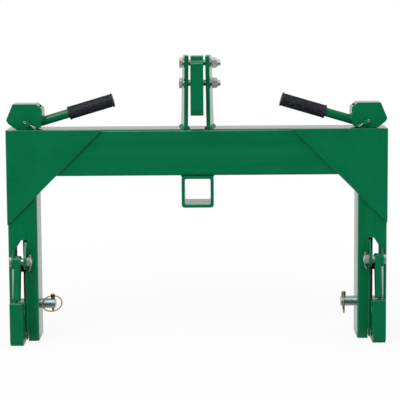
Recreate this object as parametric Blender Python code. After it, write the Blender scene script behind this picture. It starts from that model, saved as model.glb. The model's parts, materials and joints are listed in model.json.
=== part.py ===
"""Three point quick hitch: a welded arch with a top hook, two lower hooks, latches and lift levers.

X runs along the beam, Y from the implement towards the tractor and Z up, all in metres.
Every Y below is counted from the beam's front face; the last step moves the hitch back, so that the
origin is on the ground in the middle of its footprint.
"""
import math

import bmesh
import bpy
from mathutils import Matrix, Vector

# General clearances
SEAT = 0.0003
RUNNING = 0.0005

# Arch: a full-width beam on two legs
BEAM_WIDTH = 0.750
BEAM_HEIGHT = 0.092
BEAM_TOP = 0.4215
TUBE_DEPTH = 0.072
TUBE_WALL = 0.005
TUBE_CORNER = 0.0055
TUBE_INNER_CORNER = 0.0015
LEG_WIDTH = 0.058

# Corner plates, lying on the arch's front face
CORNER_PLATE_SIDE = 0.188
CORNER_PLATE_THICKNESS = 0.005

# Receiver tube under the beam
RECEIVER_OUTER = 0.0635
RECEIVER_INNER = 0.0508
RECEIVER_PIN_HOLE = 0.016
RECEIVER_CORNER = 0.006
RECEIVER_BORE_CORNER = 0.003

# Mast plates, toed out to the rear and leaning in at the top
MAST_PLATE_THICKNESS = 0.008
MAST_FOOT_GAP = 0.036
MAST_FOOT_DEPTH = 0.068
MAST_HEAD_DEPTH = 0.046
MAST_TOE = math.radians(6.0)
MAST_LEAN = math.radians(0.8)
MAST_BOLT_BACK = 0.024
MAST_BOLT_DROPS = {"lower": 0.055, "upper": 0.015}
MAST_BOLT_DIAMETER = 0.012
MAST_BOLT_HOLE = 0.0136
MAST_BOLT_PROJECTION = 0.0466

# Top hook, a J that opens upwards in front of the mast
TOP_HOOK_THICKNESS = 0.025
TOP_HOOK_FRONT = -0.050
TOP_HOOK_CLEARANCE = 0.0295
TOP_HOOK_HEIGHT = 0.115
TOP_HOOK_TIP_DROP = 0.008
TOP_HOOK_LIP = 0.016
TOP_THROAT_WIDTH = 0.030
TOP_THROAT_FLOOR = 0.019
TOP_SHANK_REAR = 0.040

# Lower hooks, set in from the legs' outer faces
HOOK_THICKNESS = 0.025
HOOK_INSET = 0.0198
HOOK_FRONT = -0.048
HOOK_TIP = 0.088
HOOK_LIP = 0.013
HOOK_THROAT_WIDTH = 0.026
HOOK_THROAT_BOTTOM = 0.057
HOOK_SHANK_REAR = 0.040
HOOK_SHANK_TOP = 0.078
HOOK_TOE_RADIUS = 0.014

# Side plates that carry the latch's pivot
EAR_THICKNESS = 0.0046
EAR_TOP = 0.200
EAR_BACK = 0.018
EAR_NOSE_RADIUS = 0.014
EAR_SLEEVE = 0.006

# Latch, a plate that swings about a bolt across the leg
LATCH_THICKNESS = 0.012
LATCH_PIVOT_Y = -0.010
LATCH_PIVOT_Z = 0.162
LATCH_EYE_RADIUS = 0.0125
LATCH_REACH = 0.0768
LATCH_NOSE_FRONT = -0.032
LATCH_ARM_END = 0.009
LATCH_SLOT_PLAY = 0.0008
LATCH_BOLT_DIAMETER = 0.010
LATCH_BOLT_HOLE = 0.0106

# Lever cam, a folded cap of two cheeks and a top
CAM_SHEET = 0.004
CAM_FRONT = 0.008
CAM_DEPTH = 0.042
CAM_PIN_INSET = 0.043
CAM_PIN_HEIGHT = 0.0112
CAM_CHEEK = (
    (0.0300, 0.0390), (-0.0160, 0.0390), (-0.0275, 0.0290), (-0.0275, 0.0110),
    (-0.0245, -0.0070), (-0.0120, -0.0105), (0.0240, -0.0105), (0.0395, 0.0010), (0.0430, 0.0080),
)
LEVER_SWING = math.radians(90.0)
LEVER_LIFT_RATE = 0.0227

# Lever tube and its grip
LEVER_DIAMETER = 0.018
LEVER_WALL = 0.0025
LEVER_RISE = math.radians(16.5)
LEVER_OFFSET = 0.0040
LEVER_START = 0.0215
LEVER_END = 0.170
GRIP_DIAMETER = 0.025
GRIP_LENGTH = 0.092
GRIP_END_WALL = 0.003

# Pins and rods
CAM_PIN_DIAMETER = 0.010
CAM_PIN_HOLE = 0.0106
ROD_DIAMETER = 0.006
ROD_INSET = 0.024
ROD_HOLE = 0.009
ROD_HEAD_THICKNESS = 0.010
ROD_HEAD_RADIUS = 0.009
ROD_STRAP_THICKNESS = 0.004
ROD_STRAP_WIDTH = 0.014
ROD_CROSSHEAD_BOTTOM = 0.204
ROD_CROSSHEAD_HEIGHT = 0.012
FOOT_PIN_DIAMETER = 0.008
SPRING_WIRE = 0.0024
SPRING_DIAMETER = 0.020
SPRING_TURNS = 7
COLLAR_DIAMETER = 0.026
COLLAR_THICKNESS = 0.004
COLLAR_TOP = 0.256
COTTER_WIRE = 0.0022

# Lower link pins with their linch pins
LINK_PIN_DIAMETER = 0.020
LINK_PIN_Y = 0.036
LINK_PIN_Z = 0.068
LINK_PIN_PROJECTION = 0.0305
LINK_PIN_HEAD_DIAMETER = 0.028
LINK_PIN_HEAD_HEIGHT = 0.005
LINCH_END_DISTANCE = 0.006
LINCH_DIAMETER = 0.0048
LINCH_HOLE = 0.0056
LINCH_TIP = 0.050
LINCH_HEAD_RADIUS = 0.0046
LINCH_HEAD_HEIGHT = 0.009
RING_DIAMETER = 0.042
RING_WIRE = 0.0025
RING_LEAN = math.radians(53.5)

# Openings in the legs
LEG_SLOT_TOP = 0.203
LEG_SLOT_SHOULDER = 0.186
LEG_SLOT_CROWN = 0.003
LEG_SLOT_FOOT = 0.147
LEG_WINDOW_INSET = 0.008
LEG_WINDOW_WIDTH = 0.012
LEG_WINDOW_BOTTOM = 0.055
LEG_WINDOW_TOP = 0.215

# Facets
ROUND = 24
SMALL_ROUND = 12

# Values that follow from the sizes above
BEAM_BOTTOM = BEAM_TOP - BEAM_HEIGHT
LEG_OUTER = BEAM_WIDTH / 2
LEG_INNER = LEG_OUTER - LEG_WIDTH
LEG_TOP = BEAM_BOTTOM - SEAT
CAM_MIDDLE_Y = CAM_FRONT + CAM_DEPTH / 2
CAM_PIN_X = LEG_OUTER - CAM_PIN_INSET
CAM_PIN_Z = BEAM_TOP + CAM_PIN_HEIGHT
ROD_X = LEG_OUTER - ROD_INSET
LEG_WINDOW_OUTER = LEG_OUTER - LEG_WINDOW_INSET
LEG_WINDOW_INNER = LEG_WINDOW_OUTER - LEG_WINDOW_WIDTH
LINK_PIN_END = LEG_INNER - LINK_PIN_PROJECTION
LINCH_X = LINK_PIN_END + LINCH_END_DISTANCE
TOP_HOOK_BOTTOM = BEAM_TOP + TOP_HOOK_CLEARANCE
TOP_THROAT_BOTTOM = TOP_HOOK_BOTTOM + TOP_THROAT_FLOOR
MAST_TOP = TOP_HOOK_BOTTOM + TOP_HOOK_HEIGHT
TOP_HOOK_TIP = MAST_TOP - TOP_HOOK_TIP_DROP
MAST_BOLT_HEIGHTS = {word: MAST_TOP - drop for word, drop in MAST_BOLT_DROPS.items()}
HOOK_MIDDLE = LEG_OUTER - HOOK_INSET
HOOK_INNER = HOOK_MIDDLE - HOOK_THICKNESS / 2
INNER_EAR_OUTER = HOOK_INNER - SEAT
INNER_EAR_INNER = INNER_EAR_OUTER - EAR_THICKNESS
LEG_SLOT_INNER = INNER_EAR_INNER - SEAT
LATCH_INNER = INNER_EAR_OUTER + SEAT + EAR_SLEEVE + SEAT
LATCH_OUTER = LATCH_INNER + LATCH_THICKNESS
OUTER_EAR_INNER = LATCH_OUTER + RUNNING
OUTER_EAR_OUTER = OUTER_EAR_INNER + EAR_THICKNESS
HOOK_OUTER = HOOK_INNER + HOOK_THICKNESS
LEVER_LIFT = LEVER_LIFT_RATE * LEVER_SWING

GREEN = ((0.0037, 0.156, 0.065), 0.28, 0.0)
ZINC = ((0.62, 0.65, 0.68), 0.30, 1.0)
YELLOW_ZINC = ((0.62, 0.47, 0.20), 0.35, 1.0)
DARK_STEEL = ((0.03, 0.03, 0.032), 0.45, 0.8)
RUBBER = ((0.012, 0.012, 0.013), 0.70, 0.0)


def new_collection(name):
    collection = bpy.data.collections.new(name)
    bpy.context.scene.collection.children.link(collection)
    return collection


for leftover in list(bpy.data.objects):
    bpy.data.objects.remove(leftover)
PARTS = new_collection("three_point_quick_hitch")
CUTTERS = new_collection("cutters")


def finish_object(obj, look):
    """Give a piece its own material from a colour, a roughness and a metallic value."""
    colour, roughness, metallic = look
    material = bpy.data.materials.new(obj.name + "_finish")
    material.use_nodes = True
    shader = material.node_tree.nodes["Principled BSDF"]
    shader.inputs["Base Color"].default_value = (*colour, 1.0)
    shader.inputs["Roughness"].default_value = roughness
    shader.inputs["Metallic"].default_value = metallic
    material.diffuse_color = (*colour, 1.0)
    obj.data.materials.clear()
    obj.data.materials.append(material)
    obj.data.shade_smooth()
    obj.data.set_sharp_from_angle(angle=math.radians(30))


def mesh_object(name, bm, placing, look=None):
    """Turn a bmesh into a placed piece, or into a cutter when it has no look."""
    bmesh.ops.recalc_face_normals(bm, faces=bm.faces)
    mesh = bpy.data.meshes.new(name)
    bm.to_mesh(mesh)
    bm.free()
    obj = bpy.data.objects.new(name, mesh)
    obj.matrix_world = placing
    if look is None:
        CUTTERS.objects.link(obj)
        obj.hide_render = True
        obj.display_type = "WIRE"
    else:
        PARTS.objects.link(obj)
        finish_object(obj, look)
    return obj


def along_x(x, y, z):
    """A placing whose own Z axis runs along world X; its X axis is world Y and its Y axis world Z."""
    return Matrix(((0, 0, 1, x), (1, 0, 0, y), (0, 1, 0, z), (0, 0, 0, 1)))


def along_y(x, y, z):
    """A placing whose own Z axis runs against world Y; its X axis is world X and its Y axis world Z."""
    return Matrix.Translation((x, y, z)) @ Matrix.Rotation(math.pi / 2, 4, "X")


def along_z(x, y, z):
    return Matrix.Translation((x, y, z))


def round_corners(corners):
    """An outline's points, with an arc at each corner that gives a radius as its third number."""
    points = []
    for index, corner in enumerate(corners):
        here = Vector(corner[:2])
        radius = corner[2] if len(corner) > 2 else 0.0
        if radius == 0.0:
            points.append(here)
            continue
        before = (Vector(corners[index - 1][:2]) - here).normalized()
        after = (Vector(corners[(index + 1) % len(corners)][:2]) - here).normalized()
        half = before.angle(after) / 2
        centre = here + (before + after).normalized() * radius / math.sin(half)
        start = here + before * radius / math.tan(half) - centre
        stop = here + after * radius / math.tan(half) - centre
        turn = math.copysign(math.pi - 2 * half, start.cross(stop))
        pieces = max(2, math.ceil(abs(turn) / math.radians(23)))
        for step in range(pieces + 1):
            points.append(centre + Matrix.Rotation(turn * step / pieces, 2) @ start)
    return points


def circle(x, y, diameter, sides=ROUND):
    return [
        Vector((x + diameter / 2 * math.cos(2 * math.pi * step / sides),
                y + diameter / 2 * math.sin(2 * math.pi * step / sides)))
        for step in range(sides)
    ]


def solid_from_curve(curve):
    """The closed mesh of a filled curve, with its caps welded on."""
    holder = bpy.data.objects.new(curve.name, curve)
    PARTS.objects.link(holder)
    bpy.context.view_layer.update()
    evaluated = holder.evaluated_get(bpy.context.evaluated_depsgraph_get())
    mesh = bpy.data.meshes.new_from_object(evaluated)
    bm = bmesh.new()
    bm.from_mesh(mesh)
    bmesh.ops.remove_doubles(bm, verts=bm.verts, dist=1e-6)
    bpy.data.objects.remove(holder)
    bpy.data.curves.remove(curve)
    bpy.data.meshes.remove(mesh)
    return bm


def plate(name, outlines, thickness, placing, look=None):
    """A flat plate with the first outline, and a hole for each further one."""
    curve = bpy.data.curves.new(name, "CURVE")
    curve.dimensions = "2D"
    curve.fill_mode = "BOTH"
    curve.extrude = thickness / 2
    for outline in outlines:
        spline = curve.splines.new("POLY")
        spline.points.add(len(outline) - 1)
        for point, place in zip(spline.points, outline):
            point.co = (place[0], place[1], 0.0, 1.0)
        spline.use_cyclic_u = True
    return mesh_object(name, solid_from_curve(curve), placing, look)


def bar(name, diameter, length, placing, look=None, sides=ROUND, end_diameter=None):
    """A round bar or cone centred on its placing."""
    bm = bmesh.new()
    bmesh.ops.create_cone(
        bm, cap_ends=True, segments=sides, radius1=diameter / 2,
        radius2=(end_diameter or diameter) / 2, depth=length,
    )
    return mesh_object(name, bm, placing, look)


def block(name, size, placing, look=None):
    bm = bmesh.new()
    bmesh.ops.create_cube(bm, size=1.0, matrix=Matrix.Diagonal((*size, 1.0)))
    return mesh_object(name, bm, placing, look)


def turned(name, profile, placing, look=None, sides=ROUND):
    """A solid turned about its own Z axis; the profile gives radius and height from top to bottom."""
    bm = bmesh.new()
    path = [bm.verts.new((radius, 0.0, height)) for radius, height in profile]
    for upper, lower in zip(path, path[1:]):
        bm.edges.new((upper, lower))
    bmesh.ops.spin(
        bm, geom=bm.verts[:] + bm.edges[:], cent=(0, 0, 0), axis=(0, 0, 1),
        angle=2 * math.pi, steps=sides, use_merge=True,
    )
    bmesh.ops.remove_doubles(bm, verts=bm.verts, dist=1e-6)
    return mesh_object(name, bm, placing, look)


def wire(name, points, diameter, placing, look, closed=False):
    """A round wire along a list of points."""
    curve = bpy.data.curves.new(name, "CURVE")
    curve.dimensions = "3D"
    curve.bevel_depth = diameter / 2
    curve.bevel_resolution = 1
    curve.use_fill_caps = True
    spline = curve.splines.new("POLY")
    spline.points.add(len(points) - 1)
    for point, place in zip(spline.points, points):
        point.co = (*place, 1.0)
    spline.use_cyclic_u = closed
    return mesh_object(name, solid_from_curve(curve), placing, look)


def combine(obj, tool, operation="DIFFERENCE"):
    modifier = obj.modifiers.new(tool.name, "BOOLEAN")
    modifier.operation = operation
    modifier.solver = "EXACT"
    modifier.object = tool


def hang_on(pivot_name, place, pieces):
    """Parent pieces that move together to an empty on their joint's axis."""
    pivot = bpy.data.objects.new(pivot_name, None)
    pivot.location = place
    PARTS.objects.link(pivot)
    bpy.context.view_layer.update()
    for piece in pieces:
        piece.parent = pivot
        piece.matrix_parent_inverse = pivot.matrix_world.inverted()


def tube_outlines(width, depth, wall, corner, inner_corner):
    """The outer and inner outline of a rectangular tube, centred on its own axis."""
    outer = [(width / 2 * x, depth / 2 * y) for x, y in ((1, 1), (-1, 1), (-1, -1), (1, -1))]
    inner = [(math.copysign(abs(x) - wall, x), math.copysign(abs(y) - wall, y)) for x, y in outer]
    return [
        round_corners([(x, y, corner) for x, y in outer]),
        round_corners([(x, y, inner_corner) for x, y in inner]),
    ]


def make_beam():
    beam = plate(
        "cross_beam",
        tube_outlines(TUBE_DEPTH, BEAM_HEIGHT, TUBE_WALL, TUBE_CORNER, TUBE_INNER_CORNER),
        BEAM_WIDTH, along_x(0, TUBE_DEPTH / 2, BEAM_TOP - BEAM_HEIGHT / 2), GREEN,
    )
    for side in (-1, 1):
        hole = bar(f"rod_hole_{side}", ROD_HOLE, BEAM_HEIGHT + 0.02,
                   along_z(side * ROD_X, CAM_MIDDLE_Y, BEAM_TOP - BEAM_HEIGHT / 2), sides=SMALL_ROUND)
        combine(beam, hole)


def make_receiver():
    wall = (RECEIVER_OUTER - RECEIVER_INNER) / 2
    receiver = plate(
        "receiver_tube",
        tube_outlines(RECEIVER_OUTER, RECEIVER_OUTER, wall, RECEIVER_CORNER, RECEIVER_BORE_CORNER),
        TUBE_DEPTH,
        along_y(0, TUBE_DEPTH / 2, BEAM_BOTTOM - SEAT - RECEIVER_OUTER / 2), GREEN,
    )
    combine(receiver, bar("receiver_pin_hole", RECEIVER_PIN_HOLE, RECEIVER_OUTER * 1.2,
                          along_x(0, TUBE_DEPTH / 2, BEAM_BOTTOM - SEAT - RECEIVER_OUTER / 2)))


def make_leg(side, word):
    leg = plate(
        f"leg_{word}",
        tube_outlines(LEG_WIDTH, TUBE_DEPTH, TUBE_WALL, TUBE_CORNER, TUBE_INNER_CORNER),
        LEG_TOP, along_z(side * (LEG_INNER + LEG_WIDTH / 2), TUBE_DEPTH / 2, LEG_TOP / 2), GREEN,
    )
    below_ground = -0.01
    slot_foot = HOOK_OUTER + 2 * SEAT
    slot_outer = OUTER_EAR_OUTER + SEAT
    slot = plate(
        f"leg_slot_{word}",
        [[(side * x, z) for x, z in (
            (LEG_SLOT_INNER, below_ground), (LEG_SLOT_INNER, LEG_SLOT_TOP), (LATCH_INNER, LEG_SLOT_TOP),
            (LATCH_OUTER - LEG_SLOT_CROWN, LEG_SLOT_SHOULDER + LEG_SLOT_CROWN),
            (OUTER_EAR_INNER, LEG_SLOT_SHOULDER), (slot_outer, LEG_SLOT_SHOULDER),
            (slot_outer, LEG_SLOT_FOOT), (slot_foot, LEG_SLOT_FOOT), (slot_foot, below_ground),
        )]],
        4 * TUBE_WALL, along_y(0, 0, 0),
    )
    window = plate(
        f"leg_window_{word}",
        [[(side * x, z) for x, z in (
            (LEG_WINDOW_INNER, LEG_WINDOW_BOTTOM), (LEG_WINDOW_OUTER, LEG_WINDOW_BOTTOM),
            (LEG_WINDOW_OUTER, LEG_WINDOW_TOP), (LEG_WINDOW_INNER, LEG_WINDOW_TOP),
        )]],
        4 * TUBE_WALL, along_y(0, TUBE_DEPTH, 0),
    )
    pin_hole = bar(f"leg_pin_hole_{word}", LINK_PIN_DIAMETER + 2 * SEAT, 4 * TUBE_WALL,
                   along_x(side * LEG_INNER, LINK_PIN_Y, LINK_PIN_Z))
    for tool in (slot, window, pin_hole):
        combine(leg, tool)


def make_corner_plate(side, word):
    corner = Vector((side * LEG_OUTER, BEAM_TOP))
    reach = CORNER_PLATE_SIDE
    outline = [corner, corner - Vector((side * reach, 0)), corner - Vector((0, reach))]
    plate(f"corner_plate_{word}", [outline], CORNER_PLATE_THICKNESS,
          along_y(0, -SEAT - CORNER_PLATE_THICKNESS / 2, 0), GREEN)


def make_mast_plate(side, word):
    height = MAST_TOP - BEAM_TOP
    outline = round_corners([
        (0, 0), (MAST_FOOT_DEPTH, 0), (MAST_HEAD_DEPTH, height, 0.016), (0, height, 0.003),
    ])
    holes = [
        circle(MAST_BOLT_BACK, level - BEAM_TOP, MAST_BOLT_HOLE, SMALL_ROUND * 2)
        for level in MAST_BOLT_HEIGHTS.values()
    ]
    foot = Matrix.Translation((
        side * (MAST_FOOT_GAP + MAST_PLATE_THICKNESS) / 2, 0,
        BEAM_TOP + SEAT + MAST_PLATE_THICKNESS * MAST_LEAN,
    ))
    tilt = Matrix.Rotation(-side * MAST_TOE, 4, "Z") @ Matrix.Rotation(-side * MAST_LEAN, 4, "Y")
    plate(f"mast_plate_{word}", [outline, *holes], MAST_PLATE_THICKNESS, foot @ tilt @ along_x(0, 0, 0),
          GREEN)


def make_top_hook():
    lip_rear = TOP_HOOK_FRONT + TOP_HOOK_LIP
    shank_front = lip_rear + TOP_THROAT_WIDTH
    throat = TOP_THROAT_WIDTH / 2 - 0.0001
    outline = round_corners([
        (TOP_HOOK_FRONT, TOP_HOOK_BOTTOM, 0.018), (TOP_HOOK_FRONT, TOP_HOOK_TIP, 0.007),
        (lip_rear, TOP_HOOK_TIP, 0.005), (lip_rear, TOP_THROAT_BOTTOM, throat),
        (shank_front, TOP_THROAT_BOTTOM, throat), (shank_front, MAST_TOP - SEAT, 0.003),
        (TOP_SHANK_REAR, MAST_TOP - SEAT, 0.010), (TOP_SHANK_REAR, TOP_HOOK_BOTTOM, 0.024),
    ])
    holes = [circle(MAST_BOLT_BACK, level, MAST_BOLT_HOLE) for level in MAST_BOLT_HEIGHTS.values()]
    plate("top_hook", [outline, *holes], TOP_HOOK_THICKNESS, along_x(0, 0, 0), GREEN)


def hex_bolt(name, diameter, placing, grip, head_width, head_height, look):
    """A hexagon bolt whose head sits below its own origin and whose shank runs up its Z axis."""
    across_corners = head_width / math.cos(math.pi / 6)
    chamfer = diameter * 0.08
    profile = [
        (0.0, grip), (diameter / 2 - chamfer, grip), (diameter / 2, grip - chamfer),
        (diameter / 2, -head_height / 2), (0.0, -head_height / 2),
    ]
    head = bar(name, across_corners, head_height, placing @ along_z(0, 0, -head_height / 2), look, sides=6)
    combine(head, turned(f"{name}_shank", profile, placing), "UNION")
    return head


def hex_nut(name, bore, placing, width, height, look, slots=0.0):
    """A hexagon nut that starts at its own origin and rises up its Z axis; slots are castle cuts' depth."""
    across_corners = width / math.cos(math.pi / 6)
    nut = bar(name, across_corners, height, placing @ along_z(0, 0, height / 2), look, sides=6)
    combine(nut, bar(f"{name}_bore", bore, height * 3, placing))
    if slots:
        for turn in range(3):
            cut = placing @ Matrix.Rotation(math.pi / 6 + turn * math.pi / 3, 4, "Z") @ along_z(0, 0, height)
            combine(nut, block(f"{name}_slot_{turn}", (width * 1.4, COTTER_WIRE * 1.5, slots * 2), cut))
    return nut


def make_mast_bolts():
    head_width = MAST_BOLT_DIAMETER * 1.5
    head_height = MAST_BOLT_DIAMETER * 0.55
    nut_height = MAST_BOLT_DIAMETER * 0.85
    for word, level in MAST_BOLT_HEIGHTS.items():
        rise = level - BEAM_TOP
        plate_outer = MAST_FOOT_GAP / 2 + MAST_PLATE_THICKNESS - rise * math.tan(MAST_LEAN)
        seat = plate_outer + (MAST_BOLT_BACK + head_width * 0.58) * math.tan(MAST_TOE) + 2 * SEAT
        hex_bolt(f"mast_bolt_{word}", MAST_BOLT_DIAMETER, along_x(-seat, MAST_BOLT_BACK, level),
                 seat + MAST_BOLT_PROJECTION, head_width, head_height, ZINC)
        hex_nut(f"mast_nut_{word}", MAST_BOLT_DIAMETER + SEAT, along_x(seat, MAST_BOLT_BACK, level),
                head_width, nut_height, ZINC)


def make_lower_hook(side, word):
    lip_rear = HOOK_FRONT + HOOK_LIP
    shank_front = lip_rear + HOOK_THROAT_WIDTH
    throat = HOOK_THROAT_WIDTH / 2 - 0.0001
    outline = round_corners([
        (HOOK_FRONT, 0, HOOK_TOE_RADIUS), (HOOK_FRONT, HOOK_TIP, 0.004), (lip_rear, HOOK_TIP, 0.003),
        (lip_rear, HOOK_THROAT_BOTTOM, throat), (shank_front, HOOK_THROAT_BOTTOM, throat),
        (shank_front, HOOK_SHANK_TOP, 0.003), (HOOK_SHANK_REAR, HOOK_SHANK_TOP, 0.003), (HOOK_SHANK_REAR, 0),
    ])
    plate(f"lower_hook_{word}", [outline], HOOK_THICKNESS, along_x(side * HOOK_MIDDLE, 0, 0), GREEN)


def make_ears(side, word):
    nose = EAR_NOSE_RADIUS
    front = LATCH_PIVOT_Y - nose
    hole = circle(LATCH_PIVOT_Y, LATCH_PIVOT_Z, LATCH_BOLT_HOLE)
    foot = LATCH_PIVOT_Z - nose - SEAT
    outer_top = LEG_SLOT_SHOULDER - SEAT
    for place, inner, top in (("inner", INNER_EAR_INNER, EAR_TOP), ("outer", OUTER_EAR_INNER, outer_top)):
        outline = round_corners([
            (EAR_BACK, foot), (EAR_BACK, top, 0.004), (LATCH_PIVOT_Y * 0.2, top, 0.002),
            (front, LATCH_PIVOT_Z + nose * 0.6, nose * 0.6), (front, foot, nose * 0.9),
        ])
        plate(f"latch_ear_{place}_{word}", [outline, hole], EAR_THICKNESS,
              along_x(side * (inner + EAR_THICKNESS / 2), 0, 0), GREEN)


def make_latch(side, word):
    """The latch's outline is worked out about its pivot: eye, nose on the reach arc, and rear arm."""
    arm_back = CAM_MIDDLE_Y - LATCH_PIVOT_Y
    arm_drop = LEVER_LIFT / 2
    arm_slope = math.atan2(-arm_drop, arm_back)
    slot_half = FOOT_PIN_DIAMETER / 2 + LATCH_SLOT_PLAY
    slot_travel = (math.hypot(arm_back, arm_drop) - arm_back) / 2
    slot_middle = (math.hypot(arm_back, arm_drop) + arm_back) / 2
    nose_front = math.asin(LATCH_NOSE_FRONT / LATCH_REACH)
    nose_back = math.radians(-7)
    arc_steps = 6
    nose = [
        (LATCH_REACH * math.sin(nose_front + (nose_back - nose_front) * step / arc_steps),
         -LATCH_REACH * math.cos(nose_front + (nose_back - nose_front) * step / arc_steps))
        for step in range(arc_steps + 1)
    ]
    arm_tip = slot_middle + slot_travel + slot_half + 0.5 * LATCH_ARM_END
    along = Vector((math.cos(arm_slope), math.sin(arm_slope)))
    across = Vector((-along.y, along.x))
    arm_half = LATCH_ARM_END
    arm_low_out = along * arm_tip - across * arm_half
    arm_high_out = along * arm_tip + across * arm_half
    arm_low_in = Vector((0.004, -0.020))
    outline = round_corners([
        *nose, (*arm_low_in, 0.006), (*arm_low_out, arm_half * 0.6), (*arm_high_out, arm_half * 0.6),
        (0.006, LATCH_EYE_RADIUS * 0.8, 0.004), (-0.002, LATCH_EYE_RADIUS, 0.004),
        (-LATCH_EYE_RADIUS, LATCH_EYE_RADIUS, 0.009), (-LATCH_EYE_RADIUS * 1.1, -0.010, 0.003),
    ])
    slot = []
    for end in (1, -1):
        for step in range(SMALL_ROUND // 2 + 1):
            swing = math.pi * step / (SMALL_ROUND // 2) - math.pi / 2
            offset = Vector((math.cos(swing), math.sin(swing))) * slot_half + Vector((slot_travel, 0))
            place = offset * end + Vector((slot_middle, 0))
            slot.append(along * place.x + across * place.y)
    latch = plate(
        f"latch_{word}", [outline, circle(0, 0, LATCH_BOLT_HOLE), slot], LATCH_THICKNESS,
        along_x(side * (LATCH_INNER + LATCH_THICKNESS / 2), LATCH_PIVOT_Y, LATCH_PIVOT_Z), GREEN,
    )
    hang_on(f"latch_pivot_{word}", (side * LATCH_INNER, LATCH_PIVOT_Y, LATCH_PIVOT_Z), [latch])


def outward(side, x, y, z):
    """A placing whose own Z axis points away from the middle of the hitch."""
    placing = along_x(side * x, y, z)
    return placing if side > 0 else placing @ Matrix.Rotation(math.pi, 4, "Y")


def inward(side, x, y, z):
    return outward(side, x, y, z) @ Matrix.Rotation(math.pi, 4, "Y")


def make_latch_fasteners(side, word):
    nut_width = LATCH_BOLT_DIAMETER * 1.6
    nut_height = LATCH_BOLT_DIAMETER * 0.9
    head_height = LATCH_BOLT_DIAMETER * 0.5
    head_x = OUTER_EAR_OUTER + SEAT
    nut_x = INNER_EAR_INNER - SEAT
    thread_end = nut_x - nut_height - 0.0015
    bolt = hex_bolt(f"latch_bolt_{word}", LATCH_BOLT_DIAMETER,
                    inward(side, head_x, LATCH_PIVOT_Y, LATCH_PIVOT_Z),
                    head_x - thread_end, nut_width, head_height, ZINC)
    slots = nut_height * 0.4
    cotter_x = nut_x - nut_height + slots / 2
    cotter_hole = COTTER_WIRE + 2 * SEAT
    combine(bolt, bar(f"latch_cotter_hole_{word}", cotter_hole, nut_width,
                      along_z(side * cotter_x, LATCH_PIVOT_Y, LATCH_PIVOT_Z), sides=SMALL_ROUND))
    hex_nut(f"latch_nut_{word}", LATCH_BOLT_DIAMETER + SEAT,
            inward(side, nut_x, LATCH_PIVOT_Y, LATCH_PIVOT_Z), nut_width, nut_height, ZINC, slots)
    top = LATCH_PIVOT_Z + nut_width / 2 + 0.003
    bottom = LATCH_PIVOT_Z - nut_width / 2 - 0.011
    wire(f"latch_cotter_{word}", [
        (side * cotter_x, LATCH_PIVOT_Y, top),
        (side * cotter_x, LATCH_PIVOT_Y, LATCH_PIVOT_Z - nut_width / 2),
        (side * (cotter_x + 0.0015), LATCH_PIVOT_Y - 0.0015, bottom + 0.004),
        (side * (cotter_x + 0.0035), LATCH_PIVOT_Y - 0.003, bottom),
    ], COTTER_WIRE, Matrix.Identity(4), ZINC)
    sleeve_outer = LATCH_BOLT_DIAMETER + 0.004
    middle = along_x(side * (INNER_EAR_OUTER + SEAT + EAR_SLEEVE / 2), LATCH_PIVOT_Y, LATCH_PIVOT_Z)
    sleeve = bar(f"latch_sleeve_{word}", sleeve_outer, EAR_SLEEVE, middle, ZINC)
    combine(sleeve, bar(f"latch_sleeve_bore_{word}", LATCH_BOLT_HOLE, EAR_SLEEVE * 2, middle))


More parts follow.
